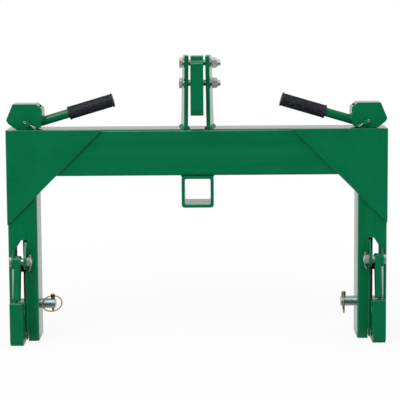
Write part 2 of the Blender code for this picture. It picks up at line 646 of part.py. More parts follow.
def make_lift_rod(side, word):
    """A rod from the lever's pin, down through the beam and the leg, to the latch's slot."""
    head_z = CAM_PIN_Z
    rod_bottom = ROD_CROSSHEAD_BOTTOM + ROD_CROSSHEAD_HEIGHT / 2
    rod = bar(f"lift_rod_{word}", ROD_DIAMETER, head_z - rod_bottom,
              along_z(side * ROD_X, CAM_MIDDLE_Y, (head_z + rod_bottom) / 2), DARK_STEEL, sides=SMALL_ROUND)
    radius = ROD_HEAD_RADIUS
    arm_outer = ROD_X + ROD_DIAMETER / 2 + 0.001
    head = plate(
        f"rod_head_{word}",
        [round_corners([
            (side * (CAM_PIN_X - radius), head_z - radius, radius * 0.9),
            (side * arm_outer, head_z - radius, 0.002), (side * arm_outer, head_z + radius * 0.5, 0.002),
            (side * (CAM_PIN_X - radius), head_z + radius, radius * 0.8),
        ])],
        ROD_HEAD_THICKNESS, along_y(0, CAM_MIDDLE_Y, 0),
    )
    eye = bar(f"rod_eye_{word}", CAM_PIN_HOLE, ROD_HEAD_THICKNESS * 2,
              along_y(side * CAM_PIN_X, CAM_MIDDLE_Y, head_z))
    strap_outer = LATCH_INNER - RUNNING
    strap_middle = strap_outer - ROD_STRAP_THICKNESS / 2
    foot_z = LATCH_PIVOT_Z - LEVER_LIFT / 2
    strap_bottom = foot_z - ROD_STRAP_WIDTH / 2
    strap_inner = strap_outer - ROD_STRAP_THICKNESS
    cross_outer = ROD_X + ROD_DIAMETER
    cross_top = ROD_CROSSHEAD_BOTTOM + ROD_CROSSHEAD_HEIGHT
    foot = plate(
        f"rod_foot_{word}",
        [[(side * x, z) for x, z in (
            (strap_inner, strap_bottom), (strap_outer, strap_bottom), (strap_outer, ROD_CROSSHEAD_BOTTOM),
            (cross_outer, ROD_CROSSHEAD_BOTTOM), (cross_outer, cross_top), (strap_inner, cross_top),
        )]],
        ROD_STRAP_WIDTH, along_y(0, CAM_MIDDLE_Y, 0),
    )
    foot_hole = bar(f"rod_foot_hole_{word}", FOOT_PIN_DIAMETER + 2 * SEAT, ROD_STRAP_THICKNESS * 3,
                    along_x(side * strap_middle, CAM_MIDDLE_Y, foot_z))
    for tool in (head, foot):
        combine(rod, tool, "UNION")
    for tool in (eye, foot_hole):
        combine(rod, tool)
    foot_start = strap_outer - ROD_STRAP_THICKNESS - SEAT
    foot_end = LATCH_OUTER + RUNNING + 0.0015
    foot_pin = hex_bolt(f"latch_link_pin_{word}", FOOT_PIN_DIAMETER,
                        outward(side, foot_start, CAM_MIDDLE_Y, foot_z),
                        foot_end - foot_start, FOOT_PIN_DIAMETER * 1.5, 0.003, ZINC)
    collar = turned(
        f"spring_collar_{word}",
        [(COLLAR_DIAMETER / 2, COLLAR_TOP), (COLLAR_DIAMETER / 2, COLLAR_TOP - COLLAR_THICKNESS),
         (ROD_DIAMETER / 2 + SEAT, COLLAR_TOP - COLLAR_THICKNESS), (ROD_DIAMETER / 2 + SEAT, COLLAR_TOP),
         (COLLAR_DIAMETER / 2, COLLAR_TOP)],
        along_z(side * ROD_X, CAM_MIDDLE_Y, 0), ZINC,
    )
    return [rod, foot_pin, collar]


def make_spring(side, word):
    """A closing spring round the rod, between its collar and the underside of the beam."""
    bottom = COLLAR_TOP + SEAT + SPRING_WIRE / 2
    top = BEAM_BOTTOM - SEAT - SPRING_WIRE / 2
    radius = (SPRING_DIAMETER - SPRING_WIRE) / 2
    sides = 12
    count = SPRING_TURNS * sides
    points = []
    for step in range(count + 1):
        turn = step / sides
        eased = min(max((turn - 0.9) / (SPRING_TURNS - 1.8), 0.0), 1.0)
        closing = min(turn, 0.9, SPRING_TURNS - turn) / 0.9 * SPRING_WIRE * 1.15
        lift = closing if turn < SPRING_TURNS / 2 else -closing
        low = SPRING_WIRE * 1.15
        height = bottom + lift if turn < 0.9 else top + lift if turn > SPRING_TURNS - 0.9 else (
            bottom + low + (top - bottom - 2 * low) * eased)
        angle = 2 * math.pi * turn
        points.append((radius * math.cos(angle), radius * math.sin(angle), height))
    wire(f"return_spring_{word}", points, SPRING_WIRE, along_z(side * ROD_X, CAM_MIDDLE_Y, 0), ZINC)


def make_lever(side, word):
    """The lever: a folded cam cap, the tube welded into its mouth, and a ribbed grip."""
    pin = (side * CAM_PIN_X, CAM_MIDDLE_Y, CAM_PIN_Z)
    outline = [(side * x, z) for x, z in CAM_CHEEK]
    cam = plate(f"lever_cam_{word}", [outline], CAM_DEPTH, along_y(*pin), GREEN)
    well_top = max(z for x, z in CAM_CHEEK) - CAM_SHEET
    mouth = min(x for x, z in CAM_CHEEK) + CAM_SHEET
    beyond = 2 * max(x for x, z in CAM_CHEEK)
    well = ((mouth, well_top), (mouth, -beyond), (beyond, -beyond), (beyond, well_top))
    combine(cam, plate(f"lever_cam_well_{word}", [[(side * x, z) for x, z in well]], CAM_DEPTH - 2 * CAM_SHEET,
                       along_y(*pin)))
    combine(cam, bar(f"lever_cam_bore_{word}", CAM_PIN_HOLE, CAM_DEPTH * 1.2, along_y(*pin)))
    lean = Matrix.Rotation(side * (LEVER_RISE - math.pi / 2), 4, "Y")
    placing = Matrix.Translation(Vector(pin) - Vector((0, 0, LEVER_OFFSET))) @ lean
    mouth_width = LEVER_DIAMETER + 2 * SEAT
    mouth_depth = 8 * CAM_SHEET
    combine(cam, bar(f"lever_mouth_bore_{word}", mouth_width, mouth_depth, placing @ along_z(0, 0, -mouth)))
    combine(cam, block(f"lever_mouth_{word}", (beyond, mouth_width, mouth_depth),
                       placing @ along_z(-side * beyond / 2, 0, -mouth)))
    inside = LEVER_DIAMETER / 2 - LEVER_WALL
    tube = turned(
        f"lever_tube_{word}",
        [(inside, LEVER_END), (LEVER_DIAMETER / 2, LEVER_END), (LEVER_DIAMETER / 2, LEVER_START),
         (inside, LEVER_START), (inside, LEVER_END)],
        placing, GREEN, sides=20,
    )
    grip_start = LEVER_END + SEAT + GRIP_END_WALL - GRIP_LENGTH
    bore = LEVER_DIAMETER / 2 + SEAT
    end = LEVER_END + SEAT
    lip = GRIP_DIAMETER / 2 + 0.0015
    body = GRIP_DIAMETER / 2
    outer = [
        (0.0, end + GRIP_END_WALL), (lip - 0.0015, end + GRIP_END_WALL), (lip, end + GRIP_END_WALL - 0.0015),
        (lip, end - 0.003), (body, end - 0.0045), (body, grip_start + 0.0060), (lip, grip_start + 0.0045),
        (lip, grip_start + 0.0010), (lip - 0.0010, grip_start), (bore, grip_start), (bore, end), (0.0, end),
    ]
    grip = turned(f"lever_grip_{word}", outer, placing, RUBBER, sides=20)
    return [cam, tube, grip]


def make_lever_pin(side, word):
    """The pin through both cheeks and the rod's eye, kept by a head behind and a split pin in front."""
    head_height = 0.003
    tail = 0.0075
    length = CAM_DEPTH + 2 * SEAT + tail
    back = CAM_FRONT + CAM_DEPTH + SEAT
    chamfer = 0.001
    radius = CAM_PIN_DIAMETER / 2
    profile = [
        (0.0, length), (radius - chamfer, length), (radius, length - chamfer), (radius, 0.0),
        (radius + 0.003, 0.0), (radius + 0.003, -head_height), (0.0, -head_height),
    ]
    place = along_y(side * CAM_PIN_X, back, CAM_PIN_Z)
    pin = turned(f"lever_pin_{word}", profile, place, ZINC)
    cotter_y = CAM_FRONT - SEAT - COTTER_WIRE / 2 - 2 * SEAT
    tilt = Matrix.Rotation(side * math.radians(-62), 4, "Y")
    middle = Matrix.Translation((side * CAM_PIN_X, cotter_y, CAM_PIN_Z)) @ tilt
    combine(pin, bar(f"lever_cotter_hole_{word}", COTTER_WIRE + 2 * SEAT, CAM_PIN_DIAMETER * 2, middle,
                     sides=SMALL_ROUND))
    reach = CAM_PIN_DIAMETER / 2
    cotter = wire(f"lever_cotter_{word}", [
        (0, 0, reach + 0.003), (0, 0, -reach - 0.002),
        (0, -0.001, -reach - 0.006), (0, -0.003, -reach - 0.012),
    ], COTTER_WIRE, middle, ZINC)
    return [pin, cotter]


def make_link_pin(side, word):
    """The implement-side stub: a shouldered pin through the leg's inner wall, headed inside it."""
    chamfer = 0.0015
    radius = LINK_PIN_DIAMETER / 2
    head_x = LEG_INNER + TUBE_WALL + SEAT
    length = head_x - LINK_PIN_END
    profile = [
        (0.0, length), (radius - chamfer, length), (radius, length - chamfer), (radius, 0.0),
        (LINK_PIN_HEAD_DIAMETER / 2, 0.0), (LINK_PIN_HEAD_DIAMETER / 2, -LINK_PIN_HEAD_HEIGHT),
        (0.0, -LINK_PIN_HEAD_HEIGHT),
    ]
    pin = turned(f"link_pin_{word}", profile, inward(side, head_x, LINK_PIN_Y, LINK_PIN_Z), ZINC)
    combine(pin, bar(f"linch_hole_{word}", LINCH_HOLE, LINK_PIN_DIAMETER * 2,
                     along_z(side * LINCH_X, LINK_PIN_Y, LINK_PIN_Z), sides=SMALL_ROUND))


def make_linch_pin(side, word, ring_turn, ring_lean):
    """A linch pin with its spring ring through a cross hole in the head."""
    head_bottom = LINK_PIN_Z + LINK_PIN_DIAMETER / 2 + SEAT
    head_top = head_bottom + LINCH_HEAD_HEIGHT
    radius = LINCH_DIAMETER / 2
    profile = [
        (0.0, head_top), (LINCH_HEAD_RADIUS * 0.7, head_top), (LINCH_HEAD_RADIUS, head_top - 0.0015),
        (LINCH_HEAD_RADIUS, head_bottom + 0.001), (LINCH_HEAD_RADIUS * 0.8, head_bottom),
        (radius, head_bottom), (radius, LINCH_TIP + 0.002), (radius * 0.5, LINCH_TIP), (0.0, LINCH_TIP),
    ]
    pin = turned(f"linch_pin_{word}", profile, along_z(side * LINCH_X, LINK_PIN_Y, 0), YELLOW_ZINC,
                 sides=SMALL_ROUND)
    ring_z = (head_bottom + head_top) / 2
    hinge = Matrix.Translation((side * LINCH_X, LINK_PIN_Y, ring_z)) @ Matrix.Rotation(ring_turn, 4, "Z")
    combine(pin, bar(f"ring_hole_{word}", RING_WIRE + 4 * SEAT, LINCH_HEAD_RADIUS * 4,
                     hinge @ along_x(0, 0, 0), sides=SMALL_ROUND))
    centre_radius = (RING_DIAMETER - RING_WIRE) / 2
    steps = 28
    points = [
        (centre_radius * math.sin(2 * math.pi * step / steps), 0.0,
         centre_radius * math.cos(2 * math.pi * step / steps) - centre_radius)
        for step in range(steps)
    ]
    ring = wire(f"linch_ring_{word}", points, RING_WIRE, hinge @ Matrix.Rotation(-ring_lean, 4, "X"),
                YELLOW_ZINC, closed=True)
    hang_on(f"ring_hinge_{word}", (side * LINCH_X, LINK_PIN_Y, ring_z), [ring])


def stand_on_origin():
    """Hang everything on one empty, and move it back by half of what the footprint is off centre."""
    loose = [obj for obj in bpy.data.objects if obj.parent is None]
    hang_on("three_point_quick_hitch", (0, 0, 0), loose)
    bpy.data.objects["three_point_quick_hitch"].location.y = -(TUBE_DEPTH + TOP_HOOK_FRONT) / 2
    bpy.context.view_layer.update()


def make_side(side, word):
    make_leg(side, word)
    make_corner_plate(side, word)
    make_mast_plate(side, word)
    make_lower_hook(side, word)
    make_ears(side, word)
    make_latch(side, word)
    make_latch_fasteners(side, word)
    rod_pieces = make_lift_rod(side, word) + make_lever_pin(side, word)
    make_spring(side, word)
    hang_on(f"rod_slide_{word}", (side * ROD_X, CAM_MIDDLE_Y, CAM_PIN_Z), rod_pieces)
    hang_on(f"lever_pivot_{word}", (side * CAM_PIN_X, CAM_MIDDLE_Y, CAM_PIN_Z), make_lever(side, word))
    make_link_pin(side, word)


make_beam()
make_receiver()
make_top_hook()
make_mast_bolts()
make_side(-1, "left")
make_side(1, "right")
make_linch_pin(-1, "left", 0.0, RING_LEAN)
make_linch_pin(1, "right", math.pi / 2, 0.0)
stand_on_origin()
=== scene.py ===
"""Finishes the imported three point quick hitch: paint, welds, hardware, grips and a studio."""
import json
import math

import bmesh
import bpy
from bpy.props import FloatProperty, FloatVectorProperty, IntProperty, PointerProperty
from mathutils import Matrix, Vector
from mathutils.bvhtree import BVHTree

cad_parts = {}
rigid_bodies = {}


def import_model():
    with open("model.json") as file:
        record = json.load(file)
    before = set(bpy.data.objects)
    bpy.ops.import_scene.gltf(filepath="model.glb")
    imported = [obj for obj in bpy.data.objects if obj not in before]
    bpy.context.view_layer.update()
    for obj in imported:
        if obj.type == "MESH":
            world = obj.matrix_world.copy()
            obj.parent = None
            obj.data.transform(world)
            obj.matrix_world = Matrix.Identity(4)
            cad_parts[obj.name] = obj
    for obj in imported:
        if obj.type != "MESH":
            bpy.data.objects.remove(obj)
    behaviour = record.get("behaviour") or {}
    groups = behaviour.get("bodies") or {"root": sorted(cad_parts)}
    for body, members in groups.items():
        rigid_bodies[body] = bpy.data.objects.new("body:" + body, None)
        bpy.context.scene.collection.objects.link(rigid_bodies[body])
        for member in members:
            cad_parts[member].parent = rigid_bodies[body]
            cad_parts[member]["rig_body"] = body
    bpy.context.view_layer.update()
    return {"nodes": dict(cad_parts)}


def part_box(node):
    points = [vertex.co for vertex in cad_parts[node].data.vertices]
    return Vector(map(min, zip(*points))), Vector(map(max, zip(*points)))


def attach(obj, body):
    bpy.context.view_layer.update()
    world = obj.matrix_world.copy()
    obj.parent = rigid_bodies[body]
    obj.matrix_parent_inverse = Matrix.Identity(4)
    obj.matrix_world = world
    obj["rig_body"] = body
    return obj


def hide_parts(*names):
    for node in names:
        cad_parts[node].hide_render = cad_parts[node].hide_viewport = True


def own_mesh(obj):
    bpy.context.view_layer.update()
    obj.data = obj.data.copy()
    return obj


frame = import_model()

bl_info = {
    "name": "Quick Hitch Finishes",
    "version": (1, 0, 0),
    "blender": (4, 5, 0),
    "location": "3D View > Sidebar > Hitch",
    "description": "Paint, weld beads, hardware, grips and a studio for a packed quick hitch",
    "category": "Object",
}

SIDES = {"left": -1, "right": 1}
MM = 0.001

# Shapes, in metres
HARDWARE_EDGE = 0.5 * MM
NUT_COLLAR = (
    (6.6 * MM, 0.0), (8.1 * MM, 0.0), (8.1 * MM, 1.3 * MM), (7.7 * MM, 2.1 * MM), (6.9 * MM, 2.4 * MM),
    (6.6 * MM, 2.2 * MM), (6.6 * MM, 0.0),
)
BOLT_RADIUS = 6.0 * MM
THREAD_SINK = 0.25 * MM
LEVER_PIN_X = 0.332
LEVER_TILT = math.radians(16.5)
TUBE_RADIUS = 10.2 * MM
TUBE_DROP = 4.0 * MM
GRIP_RADIUS = 12.0 * MM
GRIP_BORE = 9.3 * MM
PAD_MARGIN = 7.5 * MM
SPLIT_PIN_LEAN = math.radians(62)
RING_WIRE = 2.5 * MM
SPRING_WIRE = 2.4 * MM
SPRING_TURNS = 8.0

# Widths of the weld beads, as shares of the full radius
BEADS = {
    "leg": 1.0, "corner_plate": 0.34, "rim": 0.6, "mast": 1.4, "hook_inner": 0.8, "hook_outer": 0.5,
    "ear": 0.6, "receiver": 0.8, "lever": 0.55,
}

# Noise on the finishes, in patches to the metre; a drawn tube has few of them along its length
PAINT_CLOUD, PAINT_WEAR = 9.0, 160.0
PLAIN_GRAIN, BEAM_GRAIN, LEG_GRAIN = (22.0, 22.0, 22.0), (1.1, 60.0, 105.0), (105.0, 60.0, 1.1)
ZINC_CLOUD, ZINC_GRAIN = 90.0, 1500.0
YELLOW_CLOUD = 140.0
OXIDE_CLOUD, OXIDE_GRAIN = 70.0, 900.0
# The grip's coarse mottle is a painted highlight for the glints on its pads
RUBBER_GLINTS, RUBBER_GRAIN = 260.0, 1800.0

# Studio: lamps by name, place, width and power setting, and the strength of what reflections show
LAMPS = (
    ("key_lamp", (-0.7, -1.9, 2.6), 2.4, "key_power"),
    ("left_lamp", (-2.6, -0.9, 1.2), 1.6, "fill_power"),
    ("right_lamp", (2.6, -0.9, 1.2), 1.6, "fill_power"),
)
LAMP_AIM = Vector((0, 0, 0.28))
CAMERA_SHIFT = (-0.0783, -0.2)
WHITE_BEHIND = 0.78
ROOM_LIGHT = 0.55


# Sizes and colours that a user may change


class HitchPaintSettings(bpy.types.PropertyGroup):
    colour: FloatVectorProperty(
        name="Colour", description="Colour of the powder coat", default=(0.0012, 0.150, 0.0600),
        subtype="COLOR", size=3, min=0.0, max=1.0,
    )
    roughness: FloatProperty(
        name="Roughness", description="Roughness under the clear top layer", default=0.32,
        subtype="FACTOR", min=0.0, max=1.0,
    )
    peel_size: FloatProperty(
        name="Peel Size", description="Width of the orange peel's cells", default=2.4 * MM,
        unit="LENGTH", min=0.2 * MM, max=20 * MM,
    )
    edge_radius: FloatProperty(
        name="Edge Radius", description="Rounding of the cut and painted edges", default=0.9 * MM,
        unit="LENGTH", min=0.1 * MM, max=2 * MM,
    )


class HitchWeldSettings(bpy.types.PropertyGroup):
    bead_radius: FloatProperty(
        name="Bead Radius", description="Half the width of a weld bead", default=3.2 * MM,
        unit="LENGTH", min=0.5 * MM, max=6 * MM,
    )
    ripple_pitch: FloatProperty(
        name="Ripple Pitch", description="Distance from one ripple to the next", default=3.4 * MM,
        unit="LENGTH", min=0.5 * MM, max=10 * MM,
    )
    ripple_depth: FloatProperty(
        name="Ripple Depth", description="How far a ripple swells the bead", default=0.26,
        subtype="FACTOR", min=0.0, max=0.6,
    )


class HitchHardwareSettings(bpy.types.PropertyGroup):
    zinc: FloatVectorProperty(
        name="Zinc", description="Colour of the fasteners' clear zinc plate", default=(0.74, 0.75, 0.74),
        subtype="COLOR", size=3, min=0.0, max=1.0,
    )
    pin_zinc: FloatVectorProperty(
        name="Pin Zinc", description="Colour of the link pins' blue zinc plate", default=(0.55, 0.66, 0.69),
        subtype="COLOR", size=3, min=0.0, max=1.0,
    )
    yellow_zinc: FloatVectorProperty(
        name="Yellow Zinc", description="Colour of the yellow zinc plate", default=(0.58, 0.42, 0.17),
        subtype="COLOR", size=3, min=0.0, max=1.0,
    )
    thread_pitch: FloatProperty(
        name="Thread Pitch", description="Pitch of the mast bolts' thread", default=1.75 * MM,
        unit="LENGTH", min=0.5 * MM, max=4 * MM,
    )
    split_wire: FloatProperty(
        name="Split Pin Wire", description="Thickness of one leg of a split pin", default=1.3 * MM,
        unit="LENGTH", min=0.5 * MM, max=3 * MM,
    )


class HitchGripSettings(bpy.types.PropertyGroup):
    colour: FloatVectorProperty(
        name="Colour", description="Colour of the grips", default=(0.0105, 0.012, 0.0175),
        subtype="COLOR", size=3, min=0.0, max=1.0,
    )
    rows: IntProperty(name="Rows", description="Rows of pads along a grip", default=17, min=4, max=60)
    pads: IntProperty(name="Pads", description="Pads round a grip in one row", default=15, min=6, max=48)
    pad_height: FloatProperty(
        name="Pad Height", description="Height of a pad over the grip's body", default=0.9 * MM,
        unit="LENGTH", min=0.1 * MM, max=2 * MM,
    )


class HitchStageSettings(bpy.types.PropertyGroup):
    key_power: FloatProperty(
        name="Key Power", description="Power of the large lamp over the front", default=50.0,
        unit="POWER", min=0.0, max=2000.0,
    )
    fill_power: FloatProperty(
        name="Fill Power", description="Power of each lamp beside the hitch", default=14.0,
        unit="POWER", min=0.0, max=2000.0,
    )
    lens: FloatProperty(
        name="Lens", description="Focal length of the camera in millimetres", default=119.72,
        min=10.0, max=400.0,
    )
    place: FloatVectorProperty(
        name="Camera Place", description="Where the camera stands", default=(0.0172, -2.608, 0.6954),
        subtype="TRANSLATION", size=3,
    )
    aim: FloatVectorProperty(
        name="Camera Aim", description="Pitch down, yaw to the right and roll of the camera",
        default=(math.radians(5.630), math.radians(1.096), math.radians(-0.233)), subtype="EULER", size=3,
    )


# Materials


class Signal:
    """A shader socket that Python's own operators can work on."""

    def __init__(self, tree, socket):
        self.tree = tree
        self.socket = socket

    def worked(self, operation, *values):
        node = self.tree.nodes.new("ShaderNodeMath")
        node.operation = operation
        for slot, value in zip(node.inputs, values):
            feed(self.tree, slot, value)
        return Signal(self.tree, node.outputs[0])

    def __add__(self, other):
        return self.worked("ADD", self, other)

    def __sub__(self, other):
        return self.worked("SUBTRACT", self, other)

    def __rsub__(self, other):
        return self.worked("SUBTRACT", other, self)

    def __mul__(self, other):
        return self.worked("MULTIPLY", self, other)

    def __pow__(self, other):
        return self.worked("POWER", self, other)


def feed(tree, slot, value):
    """Link a signal to a socket, or set a plain value on it."""
    if isinstance(value, Signal):
        tree.links.new(value.socket, slot)
    elif isinstance(value, (int, float)):
        slot.default_value = value
    else:
        slot.default_value = (*value, 1.0) if slot.type == "RGBA" else tuple(value)


class Finish:
    """The nodes of a new material or world."""

    def __init__(self, owner):
        owner.use_nodes = True
        self.owner = owner
        self.tree = owner.node_tree
        self.tree.nodes.clear()

    def node(self, kind, out=0, values=None, **settings):
        """Add a node, set it up, feed its sockets and hand back one of its outputs."""
        node = self.tree.nodes.new(kind)
        for name, value in settings.items():
            setattr(node, name, value)
        for name, value in (values or {}).items():
            feed(self.tree, node.inputs[name], value)
        return Signal(self.tree, node.outputs[out]) if node.outputs else None

    def place(self):
        return self.node("ShaderNodeTexCoord", out="Object")

    def noise(self, where, scale, detail=2.0):
        values = {"Vector": where, "Scale": scale, "Detail": detail}
        return self.node("ShaderNodeTexNoise", values=values)

    def blend(self, factor, one, other):
        return self.node("ShaderNodeMix", out=2, data_type="RGBA", values={0: factor, 6: one, 7: other})

    def bump(self, height, depth, strength):
        values = {"Height": height, "Distance": depth, "Strength": strength}
        return self.node("ShaderNodeBump", values=values)

    def shade(self, colour, roughness, **sockets):
        """End the material in a Principled shader; a keyword's underscores stand for spaces."""
        values = {"Base Color": colour, "Roughness": roughness}
        values.update({name.replace("_", " "): value for name, value in sockets.items()})
        shader = self.node("ShaderNodeBsdfPrincipled", values=values)
        self.node("ShaderNodeOutputMaterial", values={"Surface": shader})
        return self.owner


def new_finish(name):
    return Finish(bpy.data.materials.new(name))


def tone(colour, gain):
    return tuple(min(1.0, channel * gain) for channel in colour)


def green_paint(name, grain=PLAIN_GRAIN):
    """Powder coat over steel: orange peel, faint draw marks, and thin paint on the edges."""
    settings = bpy.context.scene.hitch_paint
    finish = new_finish(name)
    where = finish.place()
    broad = finish.noise(where, PAINT_CLOUD, 3.0)
    peel = finish.noise(where, 1 / settings.peel_size, 1.0)
    drawn = finish.node("ShaderNodeMapping", values={"Vector": where, "Scale": grain})
    streaks = finish.noise(drawn, 1.0, 3.0) * 2.4 - 0.7
    edge = finish.node("ShaderNodeAttribute", out="Fac", attribute_name="edge")
    thin = edge * finish.noise(where, PAINT_WEAR, 4.0)
    mottle = broad * 0.45 + streaks * 0.55
    cast = finish.blend(mottle, tone(settings.colour, 0.82), tone(settings.colour, 1.10))
    worn_green = (0.02, 0.24, 0.13)
    colour = finish.blend(thin * 0.45, cast, worn_green)
    roughness = broad * 0.10 + thin * 0.10 + (settings.roughness - 0.05)
    return finish.shade(
        colour, roughness, Specular_IOR_Level=0.04, Coat_Weight=0.85, Coat_Roughness=0.08, Coat_IOR=1.5,
        Normal=finish.bump(peel, 0.06 * MM, 0.5),
    )


def zinc_plate(name):
    return plated(name, bpy.context.scene.hitch_hardware.zinc, 0.78)


def pin_plate(name):
    return bpy.data.materials.get(name) or plated(name, bpy.context.scene.hitch_hardware.pin_zinc, 1.0)


def plated(name, zinc, metallic):
    """Zinc plate with soft clouds; a dull, chalky plate is less metallic."""
    finish = new_finish(name)
    where = finish.place()
    cloud = finish.noise(where, ZINC_CLOUD, 4.0)
    grain = finish.noise(where, ZINC_GRAIN)
    colour = finish.blend(cloud, tone(zinc, 0.82), tone(zinc, 1.12))
    roughness = cloud * 0.24 + grain * 0.08 + 0.32
    return finish.shade(colour, roughness, Metallic=metallic, Normal=finish.bump(grain, 0.03 * MM, 0.6))


def yellow_plate(name):
    """Yellow zinc plate, whose colour drifts between a green and a red cast."""
    finish = new_finish(name)
    cloud = finish.noise(finish.place(), YELLOW_CLOUD, 3.0)
    red, green, blue = bpy.context.scene.hitch_hardware.yellow_zinc
    green_cast = (red * 0.72, green * 0.98, blue * 0.95)
    red_cast = (red * 1.1, green * 0.86, blue * 0.8)
    colour = finish.blend(cloud, green_cast, red_cast)
    return finish.shade(colour, cloud * 0.2 + 0.24, Metallic=1.0, Normal=finish.bump(cloud, 0.04 * MM, 0.5))


def black_oxide(name):
    """Blackened steel with a dull bloom."""
    finish = new_finish(name)
    where = finish.place()
    cloud = finish.noise(where, OXIDE_CLOUD, 5.0)
    grain = finish.noise(where, OXIDE_GRAIN)
    black, bloom = (0.010, 0.010, 0.011), (0.045, 0.041, 0.037)
    colour = finish.blend(cloud ** 2.0, black, bloom)
    pits = finish.bump(grain, 0.05 * MM, 0.7)
    return finish.shade(colour, cloud * 0.25 + 0.34, Metallic=0.6, Normal=pits)


def grip_rubber(name):
    """Moulded rubber, mottled lighter at random as a painted highlight that stands in for the glints on its
    pads.
    """
    settings = bpy.context.scene.hitch_grip
    finish = new_finish(name)
    where = finish.place()
    # Painted highlight: the light end of this mottle paints the glints on the pads' tips, not scuffs
    painted_glints = finish.noise(where, RUBBER_GLINTS) * 2.6 - 0.8
    grain = finish.noise(where, RUBBER_GRAIN)
    colour = finish.blend(painted_glints, tone(settings.colour, 0.35), tone(settings.colour, 2.9))
    return finish.shade(
        colour, grain * 0.16 + 0.46, Specular_IOR_Level=0.36, Normal=finish.bump(grain, 0.08 * MM, 0.8),
    )


MAKERS = {
    "green_paint": green_paint, "zinc_hardware": zinc_plate, "yellow_zinc": yellow_plate,
    "dark_steel": black_oxide, "grip_rubber": grip_rubber,
}


def finish_for(slot):
    """The material of a record's slot, made when it is first asked for."""
    return bpy.data.materials.get(f"finish_{slot}") or MAKERS[slot](f"finish_{slot}")


# Pieces


def add_piece(name, mesh, slot, body, nodes=(), finish=None):
    """Link a mesh as a finished piece on its body, in place of the CAD nodes it stands for."""
    mesh.name = name
    mesh.materials.clear()
    mesh.materials.append(finish or finish_for(slot))
    piece = linked_object(name, mesh)
    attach(piece, body)
    if nodes:
        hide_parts(*nodes)
    return piece


def body_of(node):
    return frame["nodes"][node]["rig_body"]


def baked(holder):
    """The evaluated mesh of an object, which is then removed."""
    bpy.context.view_layer.update()
    evaluated = holder.evaluated_get(bpy.context.evaluated_depsgraph_get())
    mesh = bpy.data.meshes.new_from_object(evaluated)
    bpy.data.objects.remove(holder)
    return mesh


def linked_object(name, data):
    holder = bpy.data.objects.new(name, data)
    bpy.context.scene.collection.objects.link(holder)
    return holder


def rounded_copy(node, radius):
    """A copy of a CAD node with rounded edges, whose narrow faces carry the edge attribute."""
    bm = bmesh.new()
    bm.from_mesh(frame["nodes"][node].data)
    bmesh.ops.remove_doubles(bm, verts=bm.verts, dist=1e-6)
    bmesh.ops.dissolve_limit(bm, angle_limit=math.radians(0.5), verts=bm.verts, edges=bm.edges)
    mesh = bpy.data.meshes.new(f"{node}_rounding")
    bm.faces.layers.float.new("edge")
    bm.to_mesh(mesh)
    bm.free()
    mesh.shade_smooth()
    holder = linked_object(f"{node}_rounding", mesh)
    bevel = holder.modifiers.new("Rounding", "BEVEL")
    bevel.width = radius
    bevel.segments = 2
    bevel.limit_method = "ANGLE"
    bevel.angle_limit = math.radians(32)
    weights = holder.modifiers.new("Weights", "WEIGHTED_NORMAL")
    weights.keep_sharp = True
    rounded = baked(holder)
    bpy.data.meshes.remove(mesh)
    mark_edges(rounded, radius)
    return rounded


def mark_edges(mesh, radius):
    """Write 1 in the edge attribute of the narrow faces that lie along rounded edges."""
    values = []
    for polygon in mesh.polygons:
        reach = max((mesh.vertices[a].co - mesh.vertices[b].co).length for a, b in polygon.edge_keys)
        values.append(1.0 if polygon.area < reach * radius * 1.3 else 0.0)
    attribute = mesh.attributes.get("edge") or mesh.attributes.new("edge", "FLOAT", "FACE")
    attribute.data.foreach_set("value", values)


def wire_mesh(name, points, diameter, sides, closed=False):
    """A round wire along points, as a mesh."""
    curve = bpy.data.curves.new(name, "CURVE")
    curve.dimensions = "3D"
    curve.bevel_depth = diameter / 2
    curve.bevel_resolution = (sides - 4) // 2
    curve.use_fill_caps = True
    spline = curve.splines.new("POLY")
    spline.points.add(len(points) - 1)
    for point, place in zip(spline.points, points):
        point.co = (*place, 1.0)
    spline.use_cyclic_u = closed
    mesh = baked(linked_object(name, curve))
    bpy.data.curves.remove(curve)
    mesh.shade_smooth()
    return mesh


def joined(meshes):
    """One mesh out of several, which are removed."""
    bm = bmesh.new()
    for mesh in meshes:
        bm.from_mesh(mesh)
        bpy.data.meshes.remove(mesh)
    whole = bpy.data.meshes.new("joined")
    bm.to_mesh(whole)
    bm.free()
    return whole


def turned_mesh(name, profile, placing, steps):
    """A closed profile of radius and height turned about its own Z axis, then placed."""
    bm = bmesh.new()
    path = [bm.verts.new((radius, 0.0, height)) for radius, height in profile]
    for start, stop in zip(path, path[1:]):
        bm.edges.new((start, stop))
    bmesh.ops.spin(
        bm, geom=bm.verts[:] + bm.edges[:], cent=(0, 0, 0), axis=(0, 0, 1),
        angle=2 * math.pi, steps=steps, use_merge=True,
    )
    bmesh.ops.remove_doubles(bm, verts=bm.verts, dist=1e-6)
    bmesh.ops.transform(bm, matrix=placing, verts=bm.verts)
    bmesh.ops.recalc_face_normals(bm, faces=bm.faces)
    mesh = bpy.data.meshes.new(name)
    bm.to_mesh(mesh)
    bm.free()
    mesh.shade_smooth()
    mesh.set_sharp_from_angle(angle=math.radians(35))
    return mesh


# Geometry Nodes


